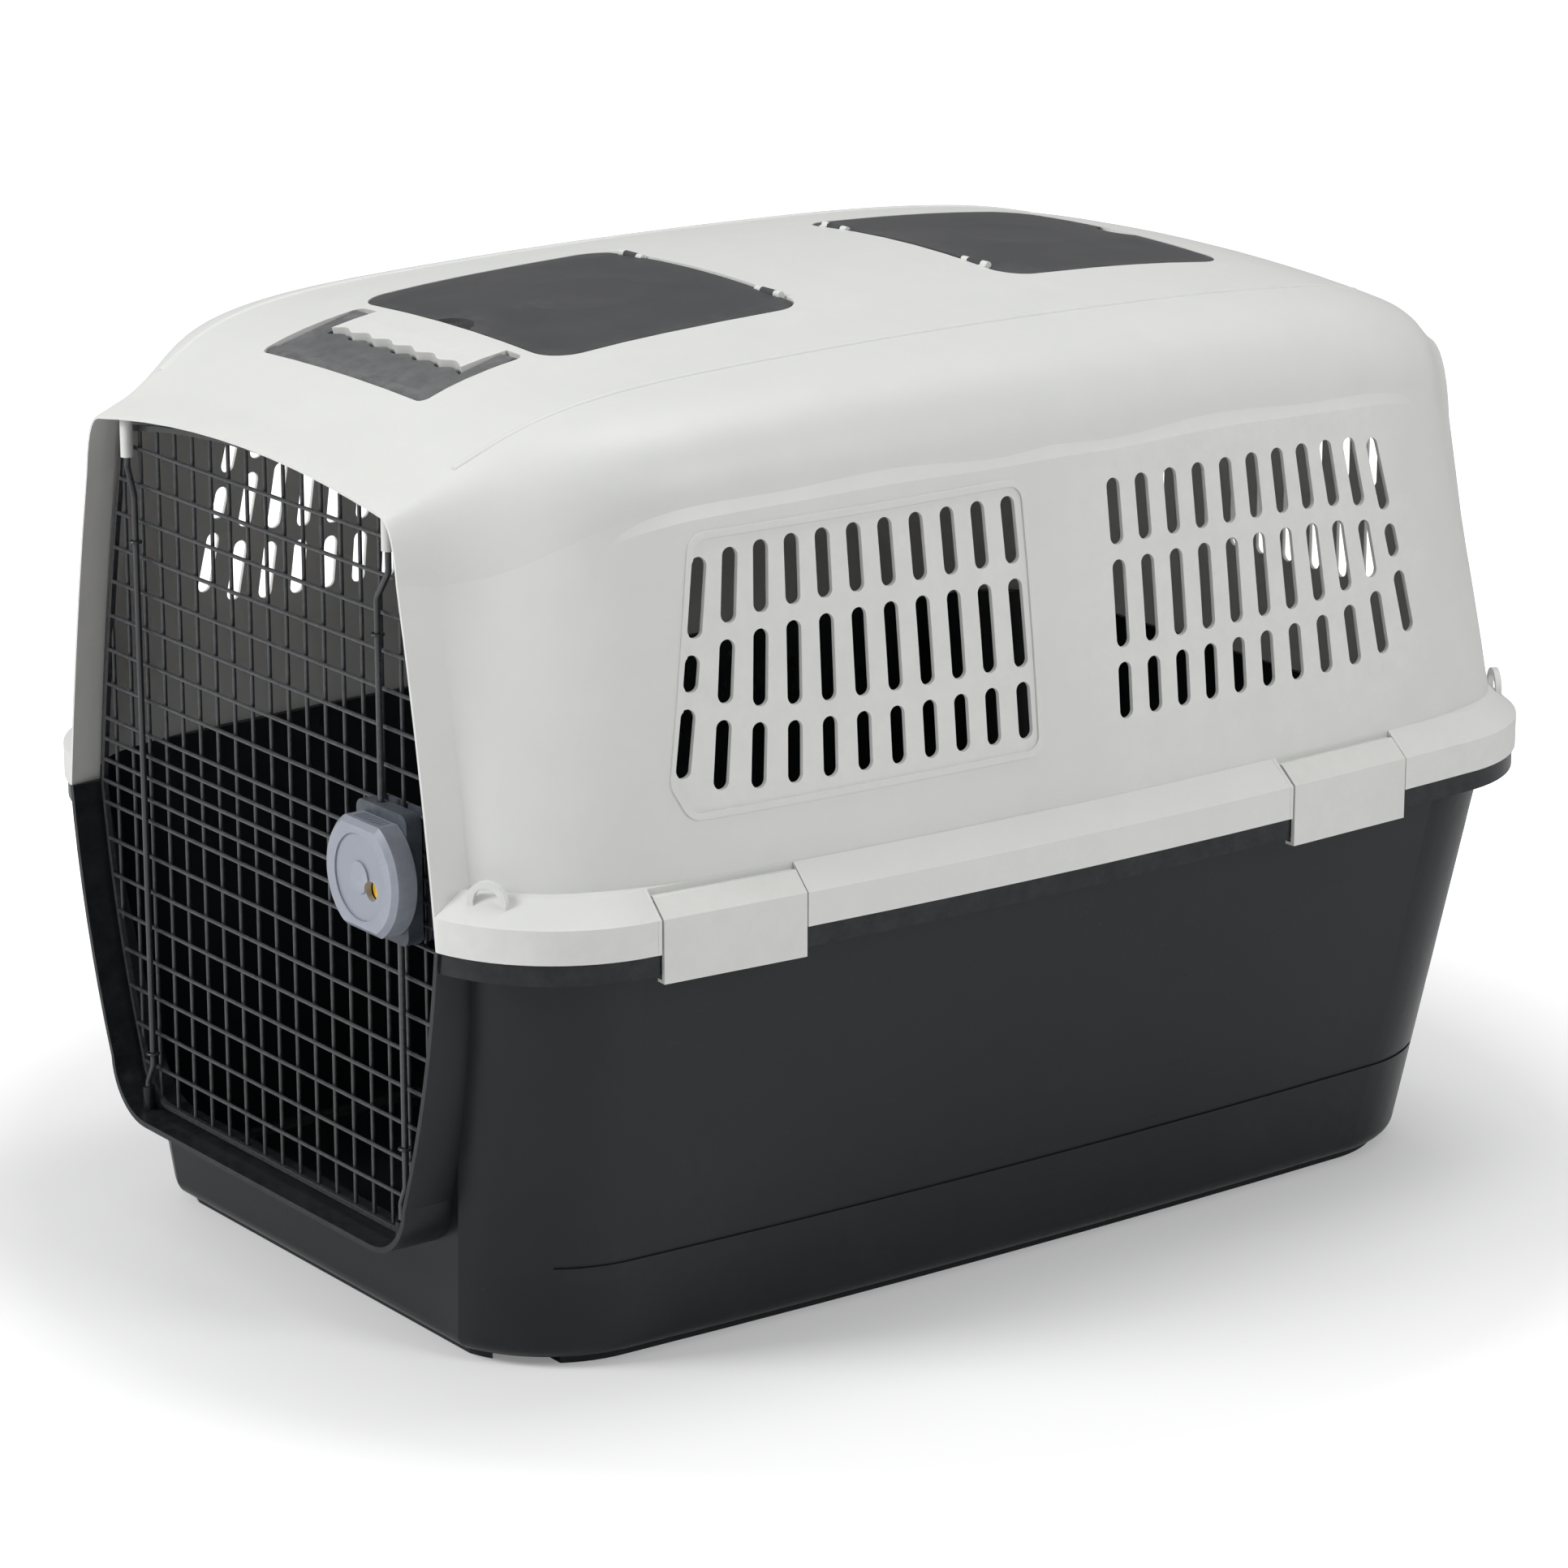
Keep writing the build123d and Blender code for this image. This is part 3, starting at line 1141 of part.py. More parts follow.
def main():
    """Build every piece and write it."""
    os.makedirs("parts", exist_ok=True)
    save(make_door_frame_wire(), "door_frame_wire")
    save(make_door_cross_wires(), "door_cross_wires")
    save(make_door_upright_wires(), "door_upright_wires")
    save(make_hinge_rod(), "hinge_rod")
    save(make_rod_guides(), "rod_guides")
    save(make_upper_bolt(), "upper_lock_bolt")
    save(make_lower_bolt(), "lower_lock_bolt")
    save(make_bolt_rack(-1), "upper_bolt_rack")
    save(make_bolt_rack(1), "lower_bolt_rack")
    save(make_dial_pinion(), "dial_pinion")
    save(make_dial_screw(), "dial_screw")
    save(make_lock_dial(), "lock_dial")
    save(make_lock_housing(), "lock_housing")
    save(make_lock_back_plate(), "lock_back_plate")
    save(make_lock_screws(), "lock_screws")
    save(make_lock_indicator(), "lock_indicator")
    save(make_latch_pins(), "latch_pins")
    save(make_hatch_pins(), "hatch_pins")
    save(handle_pin_bores(HANDLE_PIN_RADIUS), "handle_pins")
    save(make_carry_handle(), "carry_handle")
    for name in LATCH_MIDDLES:
        for side, word in ((1, "right"), (-1, "left")):
            save(make_latch(latch_plane(name, side)), f"side_latch_{name}_{word}")
    body = upper_body(0)
    core = upper_body(WALL, floor=SEAM_Z - 6, front_overrun=6)
    under_lid = upper_body(HATCH_THICKNESS + HATCH_REST_GAP)
    under_ledge = upper_body(HATCH_THICKNESS + HATCH_REST_GAP + 3.6)
    skin = upper_body(-VENT_BEAD_HEIGHT)
    for name in HATCH_SPANS:
        save(make_roof_hatch(name, body, under_lid), f"{name}_roof_hatch")
    save(make_lower_shell(), "lower_shell")
    save(make_upper_shell(body, core, under_lid, under_ledge, skin), "upper_shell")


if __name__ == "__main__":
    main()
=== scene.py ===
"""Looks of a two-shell pet transport carrier: moulded shells, wire door, dial lock, clips and hatches."""
import json
import logging
import math
from dataclasses import dataclass, field
from enum import Enum

import bmesh
import bpy
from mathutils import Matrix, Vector


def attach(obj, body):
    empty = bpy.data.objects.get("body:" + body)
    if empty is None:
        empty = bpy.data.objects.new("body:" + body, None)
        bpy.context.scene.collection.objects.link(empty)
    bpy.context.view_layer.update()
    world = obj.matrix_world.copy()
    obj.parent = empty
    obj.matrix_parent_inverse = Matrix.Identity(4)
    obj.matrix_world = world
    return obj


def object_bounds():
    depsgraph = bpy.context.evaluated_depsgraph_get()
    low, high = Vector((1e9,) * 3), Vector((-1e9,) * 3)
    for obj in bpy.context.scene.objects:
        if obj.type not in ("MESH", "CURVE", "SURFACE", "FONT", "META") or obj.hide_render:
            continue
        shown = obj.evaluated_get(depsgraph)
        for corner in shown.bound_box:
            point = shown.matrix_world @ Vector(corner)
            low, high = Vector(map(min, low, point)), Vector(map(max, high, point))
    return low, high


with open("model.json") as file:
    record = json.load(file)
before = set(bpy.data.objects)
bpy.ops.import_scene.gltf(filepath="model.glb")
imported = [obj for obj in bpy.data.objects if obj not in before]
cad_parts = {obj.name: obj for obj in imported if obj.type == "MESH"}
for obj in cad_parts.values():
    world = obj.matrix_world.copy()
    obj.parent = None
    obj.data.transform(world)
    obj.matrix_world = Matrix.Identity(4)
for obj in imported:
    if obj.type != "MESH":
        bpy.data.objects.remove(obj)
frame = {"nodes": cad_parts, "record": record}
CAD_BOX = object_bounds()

LOG = logging.getLogger("carrier")
Colour = tuple[float, float, float]
Place = tuple[float, float, float]
TONE_SCALE = 3.0
SCUFF_SCALE = 26.0
RUB_SCALE = 60.0
DUST_SCALE = 8.0
GRAIN_SCALE = 900.0


class Projection(Enum):
    """Direction in which drawn-out marks run on a surface."""

    ALONG_X = (1.0, 14.0, 14.0)
    ALONG_Y = (14.0, 1.0, 14.0)
    ALONG_Z = (14.0, 14.0, 1.0)


# ---- Shared shader effects ----------------------------------------------------------------


@dataclass
class EffectGroup:
    """A shader node group that is built once and used by several finishes."""

    name: str
    inputs: dict[str, float] = field(default_factory=dict)
    outputs: tuple[str, ...] = ("Mask",)

    def build(self) -> bpy.types.NodeTree:
        """Return the group, and make it on first use."""
        tree = bpy.data.node_groups.get(self.name)
        if tree:
            return tree
        tree = bpy.data.node_groups.new(self.name, "ShaderNodeTree")
        for label, value in self.inputs.items():
            socket = tree.interface.new_socket(label, in_out="INPUT", socket_type="NodeSocketFloat")
            socket.default_value = value
        for label in self.outputs:
            tree.interface.new_socket(label, in_out="OUTPUT", socket_type="NodeSocketFloat")
        self.fill(Wiring(tree), tree.nodes.new("NodeGroupInput"), tree.nodes.new("NodeGroupOutput"))
        return tree

    def fill(self, wiring: "Wiring", start: bpy.types.Node, end: bpy.types.Node) -> None:
        """Add the nodes of the effect between the group's input and output nodes."""
        raise NotImplementedError


@dataclass
class Wiring:
    """Short ways to add and join nodes in one tree."""

    tree: bpy.types.NodeTree

    def add(self, kind: str, **settings: object) -> bpy.types.Node:
        """Add a node and set its properties.

        Args:
            kind: Blender's name of the node type.
            settings: properties of the node and their values.

        Returns:
            The new node.
        """
        node = self.tree.nodes.new(kind)
        for label, value in settings.items():
            setattr(node, label, value)
        return node

    def join(self, source: bpy.types.NodeSocket, target: bpy.types.NodeSocket) -> None:
        """Link two sockets."""
        self.tree.links.new(source, target)

    def math(self, operation: str, first: object, second: object,
             clamp: bool = False) -> bpy.types.NodeSocket:
        """Add a Math node whose operands are sockets or numbers, and return its result."""
        node = self.add("ShaderNodeMath", operation=operation, use_clamp=clamp)
        for socket, value in zip(node.inputs, (first, second)):
            if isinstance(value, bpy.types.NodeSocket):
                self.join(value, socket)
            else:
                socket.default_value = value
        return node.outputs[0]

    def remap(self, value: bpy.types.NodeSocket, low: float, high: float, to_low: float = 0.0,
              to_high: float = 1.0) -> bpy.types.NodeSocket:
        """Map a value's range low to high onto another range, clamped."""
        node = self.add("ShaderNodeMapRange", clamp=True)
        self.join(value, node.inputs["Value"])
        for label, number in (("From Min", low), ("From Max", high), ("To Min", to_low), ("To Max", to_high)):
            node.inputs[label].default_value = number
        return node.outputs["Result"]

    def noise(self, scale: object, detail: float, roughness: float = 0.5,
              vector: bpy.types.NodeSocket | None = None) -> bpy.types.NodeSocket:
        """Add a noise texture in the piece's own coordinates and return its factor."""
        node = self.add("ShaderNodeTexNoise")
        node.inputs["Detail"].default_value = detail
        node.inputs["Roughness"].default_value = roughness
        if isinstance(scale, bpy.types.NodeSocket):
            self.join(scale, node.inputs["Scale"])
        else:
            node.inputs["Scale"].default_value = scale
        self.join(vector or self.add("ShaderNodeTexCoord").outputs["Object"], node.inputs["Vector"])
        return node.outputs["Fac"]

    def group(self, effect: EffectGroup, **values: float) -> bpy.types.Node:
        """Place an effect group and set its inputs by name, with _ for a space."""
        node = self.add("ShaderNodeGroup")
        node.node_tree = effect.build()
        for label, value in values.items():
            node.inputs[label.replace("_", " ")].default_value = value
        return node

    def tint(self, base: object, colour: Colour, mask: bpy.types.NodeSocket) -> bpy.types.NodeSocket:
        """Mix a colour over a base colour by a mask, and return the mixed colour."""
        node = self.add("ShaderNodeMix", data_type="RGBA")
        if isinstance(base, bpy.types.NodeSocket):
            self.join(base, node.inputs[6])
        else:
            node.inputs[6].default_value = (*base, 1.0)
        node.inputs[7].default_value = (*colour, 1.0)
        self.join(mask, node.inputs[0])
        return node.outputs[2]


class PatchyTone(EffectGroup):
    """Slow uneven tone, as in a large moulding."""

    FINE_RATIO = 9.0
    FINE_SHARE = 0.3
    BAND = (0.38, 0.62)

    def fill(self, wiring: Wiring, start: bpy.types.Node, end: bpy.types.Node) -> None:
        """Two sizes of soft noise, added."""
        broad = wiring.noise(start.outputs["Scale"], 3.0)
        fine = wiring.noise(wiring.math("MULTIPLY", start.outputs["Scale"], self.FINE_RATIO), 4.0)
        mixed = wiring.math("ADD", wiring.math("MULTIPLY", broad, 1 - self.FINE_SHARE),
                            wiring.math("MULTIPLY", fine, self.FINE_SHARE))
        wiring.join(wiring.remap(mixed, *self.BAND), end.inputs["Mask"])


class MouldGrain(EffectGroup):
    """Spark-eroded mould grain: small rounded pits with a finer grain on them."""

    FINE_RATIO = 2.3
    FINE_SHARE = 0.4

    def fill(self, wiring: Wiring, start: bpy.types.Node, end: bpy.types.Node) -> None:
        """Cell pattern plus noise."""
        cells = wiring.add("ShaderNodeTexVoronoi", feature="SMOOTH_F1")
        wiring.join(wiring.add("ShaderNodeTexCoord").outputs["Object"], cells.inputs["Vector"])
        wiring.join(start.outputs["Scale"], cells.inputs["Scale"])
        fine = wiring.noise(wiring.math("MULTIPLY", start.outputs["Scale"], self.FINE_RATIO), 3.0)
        total = wiring.math("ADD", wiring.math("MULTIPLY", cells.outputs["Distance"], 1 - self.FINE_SHARE),
                            wiring.math("MULTIPLY", fine, self.FINE_SHARE))
        wiring.join(total, end.inputs["Height"])


class Scuffs(EffectGroup):
    """Thin drawn-out rub marks in three directions."""

    TURN = (0.3, 0.2, 0.5)
    PEAK = (0.69, 0.74)
    SPREAD_SCALE = 5.0
    SPREAD = (0.5, 0.64)

    def fill(self, wiring: Wiring, start: bpy.types.Node, end: bpy.types.Node) -> None:
        """Stretched noise in each direction, kept where it peaks."""
        total: object = 0.0
        for direction in Projection:
            mapping = wiring.add("ShaderNodeMapping")
            mapping.inputs["Scale"].default_value = direction.value
            mapping.inputs["Rotation"].default_value = self.TURN
            wiring.join(wiring.add("ShaderNodeTexCoord").outputs["Object"], mapping.inputs["Vector"])
            streak = wiring.noise(start.outputs["Scale"], 2.0, 0.6, mapping.outputs["Vector"])
            total = wiring.math("ADD", total, wiring.remap(streak, *self.PEAK))
        spread = wiring.remap(wiring.noise(self.SPREAD_SCALE, 2.0), *self.SPREAD)
        wiring.join(wiring.math("MULTIPLY", total, spread, clamp=True), end.inputs["Mask"])


class EdgeRub(EffectGroup):
    """Rubbed convex edges, broken up by noise."""

    SHARPNESS = (0.52, 0.60)
    BREAKS = (0.35, 0.65)

    def fill(self, wiring: Wiring, start: bpy.types.Node, end: bpy.types.Node) -> None:
        """Pointiness above a level, times noise."""
        point = wiring.add("ShaderNodeNewGeometry").outputs["Pointiness"]
        sharp = wiring.remap(point, *self.SHARPNESS)
        broken = wiring.remap(wiring.noise(start.outputs["Scale"], 5.0, 0.7), *self.BREAKS)
        wiring.join(wiring.math("MULTIPLY", sharp, broken), end.inputs["Mask"])


class Dust(EffectGroup):
    """Light dust on what faces upwards."""

    FACING = (0.35, 1.0)
    PATCHES = (0.40, 0.70)

    def fill(self, wiring: Wiring, start: bpy.types.Node, end: bpy.types.Node) -> None:
        """Upward part of the surface's direction, times noise."""
        split = wiring.add("ShaderNodeSeparateXYZ")
        wiring.join(wiring.add("ShaderNodeNewGeometry").outputs["Normal"], split.inputs[0])
        upward = wiring.remap(split.outputs["Z"], *self.FACING)
        patches = wiring.remap(wiring.noise(start.outputs["Scale"], 6.0, 0.65), *self.PATCHES)
        wiring.join(wiring.math("MULTIPLY", upward, patches), end.inputs["Mask"])


PATCHY_TONE = PatchyTone("patchy_tone", {"Scale": TONE_SCALE})
MOULD_GRAIN = MouldGrain("mould_grain", {"Scale": GRAIN_SCALE}, ("Height",))
SCUFFS = Scuffs("scuffs", {"Scale": SCUFF_SCALE})
EDGE_RUB = EdgeRub("edge_rub", {"Scale": RUB_SCALE})
DUST = Dust("dust", {"Scale": DUST_SCALE})


# ---- Finishes -----------------------------------------------------------------------------


@dataclass(frozen=True)
class MouldedPlastic:
    """Moulded thermoplastic with mould grain, uneven tone, scuffs, rubbed edges and dust. It can also have a
    painted glow, an emission that paints light onto a part that is no lamp.
    """

    name: str
    colour: Colour
    tone: Colour
    rubbed: Colour
    roughness: tuple[float, float]
    grain_scale: float = GRAIN_SCALE
    grain_depth: float = 0.00006
    grain_strength: float = 0.25
    scuff_amount: float = 0.25
    rub_amount: float = 0.35
    dust_amount: float = 0.10
    dust_colour: Colour = (0.62, 0.60, 0.56)
    coat: float = 0.0
    specular: float = 0.5
    subsurface: float = 0.0
    subsurface_depth: float = 0.004
    coat_roughness: float = 0.25
    scuff_roughness: float = 0.3
    # Emission strength that paints light onto the plastic, though the part is no lamp
    painted_glow: float = 0.0

    def material(self) -> bpy.types.Material:
        """Return the Blender material, and make it on first use."""
        existing = bpy.data.materials.get(self.name)
        if existing:
            return existing
        material = bpy.data.materials.new(self.name)
        material.use_nodes = True
        wiring = Wiring(material.node_tree)
        shader = material.node_tree.nodes["Principled BSDF"]
        # Painted light: emission in the plastic's own colour, at the painted glow strength
        shader.inputs["Emission Color"].default_value = (*self.colour, 1.0)
        shader.inputs["Emission Strength"].default_value = self.painted_glow
        tone = wiring.group(PATCHY_TONE).outputs["Mask"]
        scuffs = wiring.math("MULTIPLY", wiring.group(SCUFFS).outputs["Mask"], self.scuff_amount)
        rub = wiring.math("MULTIPLY", wiring.group(EDGE_RUB).outputs["Mask"], self.rub_amount)
        dust = wiring.math("MULTIPLY", wiring.group(DUST).outputs["Mask"], self.dust_amount)
        colour = wiring.tint(self.colour, self.tone, tone)
        colour = wiring.tint(colour, self.rubbed, wiring.math("MAXIMUM", scuffs, rub))
        colour = wiring.tint(colour, self.dust_colour, dust)
        wiring.join(colour, shader.inputs["Base Color"])
        rough = wiring.remap(tone, 0.0, 1.0, *self.roughness)
        worn = wiring.math("ADD", rough, wiring.math("MULTIPLY", scuffs, self.scuff_roughness))
        wiring.join(wiring.math("ADD", worn, dust, clamp=True), shader.inputs["Roughness"])
        bump = wiring.add("ShaderNodeBump")
        bump.inputs["Strength"].default_value = self.grain_strength
        bump.inputs["Distance"].default_value = self.grain_depth
        grain = wiring.group(MOULD_GRAIN, Scale=self.grain_scale)
        wiring.join(grain.outputs["Height"], bump.inputs["Height"])
        wiring.join(bump.outputs["Normal"], shader.inputs["Normal"])
        shader.inputs["Coat Weight"].default_value = self.coat
        shader.inputs["Coat Roughness"].default_value = self.coat_roughness
        shader.inputs["Specular IOR Level"].default_value = self.specular
        shader.inputs["Subsurface Weight"].default_value = self.subsurface
        shader.inputs["Subsurface Scale"].default_value = self.subsurface_depth
        return material


@dataclass(frozen=True)
class Metal:
    """Bare or coated metal: fine grain, uneven tone and small chips."""

    name: str
    colour: Colour
    chipped: Colour
    metallic: float
    roughness: tuple[float, float]
    chip_amount: float = 0.4
    tone_scale: float = 12.0
    tone_depth: float = 0.8
    chip_scale: float = 220.0
    grain_scale: float = 1600.0
    grain_depth: float = 0.00002
    grain_strength: float = 0.3
    coat: float = 0.0

    def material(self) -> bpy.types.Material:
        """Return the Blender material, and make it on first use."""
        existing = bpy.data.materials.get(self.name)
        if existing:
            return existing
        material = bpy.data.materials.new(self.name)
        material.use_nodes = True
        wiring = Wiring(material.node_tree)
        shader = material.node_tree.nodes["Principled BSDF"]
        tone = wiring.group(PATCHY_TONE, Scale=self.tone_scale).outputs["Mask"]
        edges = wiring.group(EDGE_RUB, Scale=self.chip_scale).outputs["Mask"]
        rub = wiring.math("MULTIPLY", edges, self.chip_amount)
        shade = tuple(self.tone_depth * value for value in self.colour)
        colour = wiring.tint(self.colour, shade, tone)
        wiring.join(wiring.tint(colour, self.chipped, rub), shader.inputs["Base Color"])
        wiring.join(wiring.remap(tone, 0.0, 1.0, *self.roughness), shader.inputs["Roughness"])
        bump = wiring.add("ShaderNodeBump")
        bump.inputs["Strength"].default_value = self.grain_strength
        bump.inputs["Distance"].default_value = self.grain_depth
        grain = wiring.group(MOULD_GRAIN, Scale=self.grain_scale)
        wiring.join(grain.outputs["Height"], bump.inputs["Height"])
        wiring.join(bump.outputs["Normal"], shader.inputs["Normal"])
        shader.inputs["Metallic"].default_value = self.metallic
        shader.inputs["Coat Weight"].default_value = self.coat
        return material


LIGHT_SHELL = MouldedPlastic(
    "light_shell_plastic", colour=(0.70, 0.705, 0.685), tone=(0.665, 0.672, 0.655), rubbed=(0.80, 0.80, 0.78),
    roughness=(0.40, 0.47), dust_amount=0.04, scuff_amount=0.12, rub_amount=0.3, subsurface=0.05,
)
LIGHT_LATCH = MouldedPlastic(
    "light_latch_plastic", colour=(0.68, 0.685, 0.66), tone=(0.645, 0.65, 0.63), rubbed=(0.80, 0.80, 0.78),
    roughness=(0.38, 0.46), dust_amount=0.02, scuff_amount=0.06, rub_amount=0.2, subsurface=0.05,
)
DARK_TUB = MouldedPlastic(
    "dark_tub_plastic", colour=(0.0085, 0.0105, 0.0125), tone=(0.011, 0.0135, 0.016),
    rubbed=(0.06, 0.063, 0.068), roughness=(0.26, 0.33), grain_scale=700.0, grain_depth=0.00007,
    scuff_amount=0.12, rub_amount=0.25, dust_amount=0.01, specular=0.3,
)
DARK_HATCH = MouldedPlastic(
    "dark_hatch_plastic", colour=(0.048, 0.049, 0.052), tone=(0.043, 0.0445, 0.0475),
    rubbed=(0.11, 0.11, 0.115), roughness=(0.52, 0.60), grain_scale=520.0, grain_depth=0.00022,
    grain_strength=0.7, scuff_amount=0.15, rub_amount=0.4, dust_amount=0.02, specular=0.35,
)
DARK_HANDLE = MouldedPlastic(
    "dark_handle_plastic", colour=(0.095, 0.097, 0.100), tone=(0.086, 0.088, 0.091),
    rubbed=(0.22, 0.22, 0.225), roughness=(0.36, 0.44), grain_scale=800.0, scuff_amount=0.2, rub_amount=0.5,
    dust_amount=0.02, specular=0.4,
)
DIAL_BLUE = MouldedPlastic(
    "dial_grey_blue_plastic", colour=(0.30, 0.325, 0.385), tone=(0.275, 0.30, 0.36), rubbed=(0.42, 0.45, 0.5),
    roughness=(0.30, 0.38), rub_amount=0.5, dust_amount=0.05, coat=0.1,
)
LOCK_SLATE = MouldedPlastic(
    "lock_slate_plastic", colour=(0.055, 0.07, 0.09), tone=(0.047, 0.06, 0.078), rubbed=(0.16, 0.17, 0.19),
    roughness=(0.36, 0.44), scuff_amount=0.2, rub_amount=0.4, dust_amount=0.05,
)
# Painted light: the yellow indicator glows by emission so that it shows bright in its recess
INDICATOR_YELLOW = MouldedPlastic(
    "indicator_yellow_plastic", colour=(0.85, 0.50, 0.02), tone=(0.78, 0.44, 0.02), rubbed=(0.95, 0.70, 0.2),
    roughness=(0.22, 0.3), scuff_amount=0.1, coat=0.4, painted_glow=0.5,
)
COATED_WIRE = Metal(
    "coated_door_wire", colour=(0.028, 0.030, 0.034), chipped=(0.30, 0.30, 0.31), metallic=0.0,
    roughness=(0.30, 0.38), chip_amount=0.12, coat=0.3,
)
COATED_ROD = Metal(
    "coated_rod_steel", colour=(0.035, 0.037, 0.042), chipped=(0.35, 0.35, 0.36), metallic=0.0,
    roughness=(0.26, 0.34), chip_amount=0.15, coat=0.35,
)
DRAWN_STEEL = Metal(
    "drawn_pin_steel", colour=(0.52, 0.52, 0.53), chipped=(0.72, 0.72, 0.73), metallic=1.0,
    roughness=(0.24, 0.34),
)
FINISH_OF_SLOT = {
    "shell_light": LIGHT_SHELL,
    "latch_light": LIGHT_LATCH,
    "tub_dark": DARK_TUB,
    "hatch_dark": DARK_HATCH,
    "handle_dark": DARK_HANDLE,
    "door_wire": COATED_WIRE,
    "rod_steel": COATED_ROD,
    "dial_blue": DIAL_BLUE,
    "lock_slate": LOCK_SLATE,
    "indicator_yellow": INDICATOR_YELLOW,
    "pin_steel": DRAWN_STEEL,
    "screw_steel": DRAWN_STEEL,
}


# ---- Mesh helpers -------------------------------------------------------------------------


def new_object(name: str, mesh: bmesh.types.BMesh) -> bpy.types.Object:
    """Turn a bmesh into a linked object.

    Args:
        name: the object's name.
        mesh: the geometry, freed afterwards.

    Returns:
        The new object.
    """
    bmesh.ops.recalc_face_normals(mesh, faces=mesh.faces)
    for face in mesh.faces:
        face.smooth = True
    data = bpy.data.meshes.new(name)
    mesh.to_mesh(data)
    mesh.free()
    piece = bpy.data.objects.new(name, data)
    bpy.context.scene.collection.objects.link(piece)
    return piece


@dataclass
class SubAssembly:
    """A group of pieces on one body that share their finishing code."""

    body: str = "root"

    def dress(self, *nodes: str) -> None:
        """Give CAD nodes the finish of their material slot."""
        slots = {entry["node"]: entry["material_slot"] for entry in frame["record"]["subparts"]}
        for node in nodes:
            piece = frame["nodes"][node]
            piece.data.materials.clear()
            piece.data.materials.append(FINISH_OF_SLOT[slots[node]].material())
            LOG.info("dressed %s as %s", node, slots[node])

    def place(self, piece: bpy.types.Object, slot: str) -> None:
        """Give a new piece its finish and its body."""
        piece.data.materials.append(FINISH_OF_SLOT[slot].material())
        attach(piece, self.body)
        LOG.info("added %s", piece.name)


@dataclass
class Shells(SubAssembly):
    """Roof shell and tub."""

    crease_reach: float = 0.2255
    crease_draw_in: float = 0.017
    crease_ends: tuple[float, float] = (0.072, 0.115)
    crease_sweep: tuple[float, float] = (0.05, 0.09)
    crease_radius: float = 0.0036
    crease_proud: float = 0.0017
    crease_points: int = 40

    def make(self) -> None:
        """Dress both shells and the hidden pins, and lay the moulded line along the roof's creases."""
        self.dress("upper_shell", "lower_shell", "latch_pins", "hatch_pins", "handle_pins")
        for side, word in ((1, "right"), (-1, "left")):
            self.crease_bead(side, f"roof_crease_bead_{word}")

    def crease_bead(self, side: int, name: str) -> None:
        """Soft raised line along one crease of the roof, laid on the shell with rays from above.

        Args:
            side: 1 for the right crease, -1 for the left.
            name: the piece's name.
        """
        shell = frame["nodes"]["upper_shell"]
        to_shell = shell.matrix_world.inverted()
        down = to_shell.to_3x3() @ Vector((0, 0, -1))
        front_sweep, rear_sweep = self.crease_sweep
        start = CAD_BOX[0][1] + self.crease_ends[0]
        length = CAD_BOX[1][1] - self.crease_ends[1] - start
        data = bpy.data.curves.new(name, "CURVE")
        data.dimensions = "3D"
        data.bevel_depth = self.crease_radius
        data.bevel_resolution = 3
        data.use_fill_caps = True
        spline = data.splines.new("NURBS")
        spline.points.add(self.crease_points)
        for index, point in enumerate(spline.points):
            along = length * index / self.crease_points
            swept = math.exp(-along / front_sweep) + math.exp((along - length) / rear_sweep)
            reach = self.crease_reach - self.crease_draw_in * swept
            above = Vector((side * reach, start + along, 2 * CAD_BOX[1][2]))
            _, place, normal, _ = shell.ray_cast(to_shell @ above, down)
            centre = shell.matrix_world @ (place - normal * (self.crease_radius - self.crease_proud))
            point.co = (*centre, 1.0)
        spline.order_u = 4
        spline.use_endpoint_u = True
        piece = bpy.data.objects.new(name, data)
        bpy.context.scene.collection.objects.link(piece)
        self.place(piece, "shell_light")


@dataclass
class Closures(SubAssembly):
    """Side clips, roof hatches and carry handle."""

    def make(self) -> None:
        """Dress every clip, hatch and the handle."""
        for end in ("front", "rear"):
            for side in ("left", "right"):
                self.dress(f"side_latch_{end}_{side}")
            self.dress(f"{end}_roof_hatch")
        self.dress("carry_handle")


@dataclass
class WireDoor(SubAssembly):
    """Wire door with its rods."""

    body: str = "door"

    def make(self) -> None:
        """Dress the wires and the rods."""
        self.dress("door_frame_wire", "door_cross_wires", "door_upright_wires", "hinge_rod", "rod_guides")
        self.dress("upper_lock_bolt", "lower_lock_bolt")


@dataclass
class DialLock(SubAssembly):
    """Dial, housing and gear."""

    body: str = "door"

    def make(self) -> None:
        """Dress the lock's pieces."""
        self.dress("lock_dial", "dial_pinion", "dial_screw", "lock_housing", "lock_back_plate", "lock_screws")
        self.dress("lock_indicator", "upper_bolt_rack", "lower_bolt_rack")


@dataclass(frozen=True)
class SoftLight:
    """Square soft light."""

    name: str
    place: Place
    size: float
    power: float

    def make(self, target: Place) -> None:
        """Add the light, aimed at a point."""
        data = bpy.data.lights.new(self.name, "AREA")
        data.shape = "SQUARE"
        data.size = self.size
        data.energy = self.power
        light = bpy.data.objects.new(self.name, data)
        light.location = self.place
        light.rotation_euler = (Vector(target) - Vector(self.place)).to_track_quat("-Z", "Y").to_euler()
        bpy.context.scene.collection.objects.link(light)


# From the front left, from the right, and from above
LIGHTS = (
    SoftLight("key_light", (-0.9, -3.4, 2.3), 1.3, 84),
    SoftLight("fill_light", (4.0, 0.9, 2.6), 1.5, 52),
    SoftLight("top_light", (0.2, 0.5, 3.6), 1.6, 38),
)


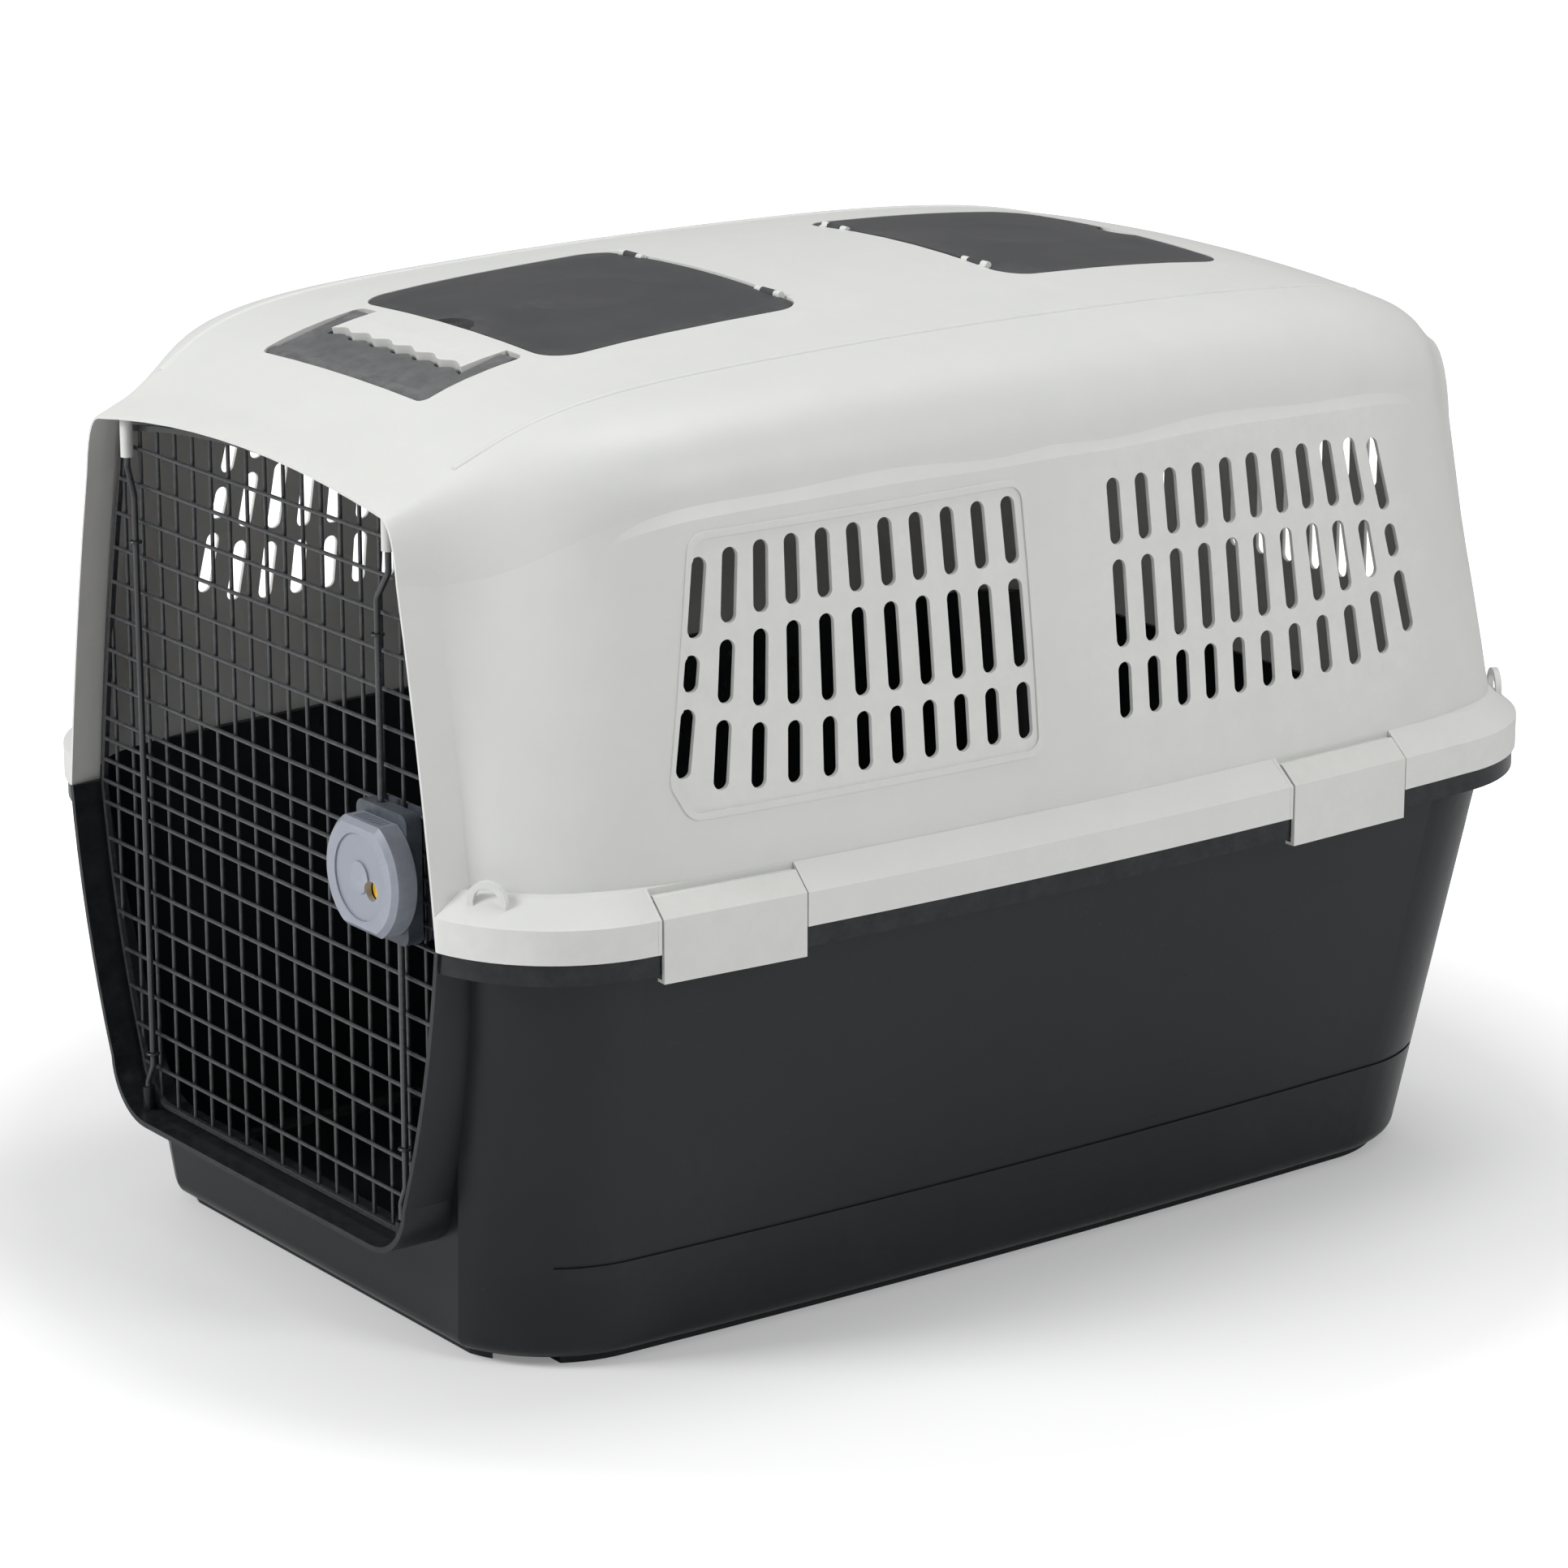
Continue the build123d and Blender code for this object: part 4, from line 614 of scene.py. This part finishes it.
@dataclass
class Studio:
    """Pale floor, soft lights and the camera."""

    floor_size: float = 14.0
    fade: tuple[float, float] = (0.65, 1.25)
    fade_start: float = 0.2
    lit_point: Place = (0.0, 0.0, 0.4)
    surround_light: float = 0.38
    camera_place: Place = (3.4576, -2.5557, 1.5837)
    camera_aim: Place = (-0.7723, 0.5694, -0.2815)
    lens: float = 126.7

    def make(self) -> None:
        """Build the stage."""
        self.make_floor()
        self.make_lights()
        self.make_camera()

    def make_floor(self) -> None:
        """Pale matt floor with a faint unevenness, which fades to white away from the carrier."""
        mesh = bmesh.new()
        bmesh.ops.create_grid(mesh, x_segments=4, y_segments=4, size=self.floor_size / 2)
        floor = new_object("studio_floor", mesh)
        floor.location = (0, 0, CAD_BOX[0][2])
        material = bpy.data.materials.new("studio_floor_paint")
        material.use_nodes = True
        wiring = Wiring(material.node_tree)
        shader = material.node_tree.nodes["Principled BSDF"]
        tone = wiring.group(PATCHY_TONE, Scale=1.2).outputs["Mask"]
        wiring.join(wiring.tint((0.86, 0.86, 0.86), (0.84, 0.84, 0.845), tone), shader.inputs["Base Color"])
        wiring.join(wiring.remap(tone, 0.0, 1.0, 0.55, 0.62), shader.inputs["Roughness"])
        away = wiring.add("ShaderNodeVectorMath", operation="LENGTH")
        wiring.join(wiring.add("ShaderNodeTexCoord").outputs["Object"], away.inputs[0])
        fade = wiring.remap(away.outputs["Value"], *self.fade, self.fade_start, 1.0)
        seen = wiring.add("ShaderNodeLightPath").outputs["Is Camera Ray"]
        shader.inputs["Emission Color"].default_value = (1, 1, 1, 1)
        wiring.join(wiring.math("MULTIPLY", fade, seen), shader.inputs["Emission Strength"])
        floor.data.materials.append(material)

    def make_lights(self) -> None:
        """Soft lights, and a surround that is white to the camera and dimmer as light."""
        for light in LIGHTS:
            light.make(self.lit_point)
        bpy.context.scene.view_settings.view_transform = "Standard"
        world = bpy.context.scene.world or bpy.data.worlds.new("surround")
        bpy.context.scene.world = world
        world.use_nodes = True
        wiring = Wiring(world.node_tree)
        surround = world.node_tree.nodes["Background"]
        surround.inputs["Color"].default_value = (1, 1, 1, 1)
        seen = wiring.add("ShaderNodeLightPath").outputs["Is Camera Ray"]
        strength = wiring.remap(seen, 0.0, 1.0, self.surround_light, 1.0)
        wiring.join(strength, surround.inputs["Strength"])

    def make_camera(self) -> None:
        """Long lens from the front right, above the roof."""
        data = bpy.data.cameras.new("studio_camera")
        data.lens = self.lens
        data.sensor_width = 36.0
        camera = bpy.data.objects.new("studio_camera", data)
        camera.location = self.camera_place
        camera.rotation_euler = Vector(self.camera_aim).to_track_quat("-Z", "Y").to_euler()
        bpy.context.scene.collection.objects.link(camera)
        bpy.context.scene.camera = camera


def main() -> None:
    """Build the whole look and report each piece."""
    logging.basicConfig(level=logging.INFO, format="%(message)s")
    Studio().make()
    Shells().make()
    Closures().make()
    WireDoor().make()
    DialLock().make()


if __name__ == "__main__":
    main()
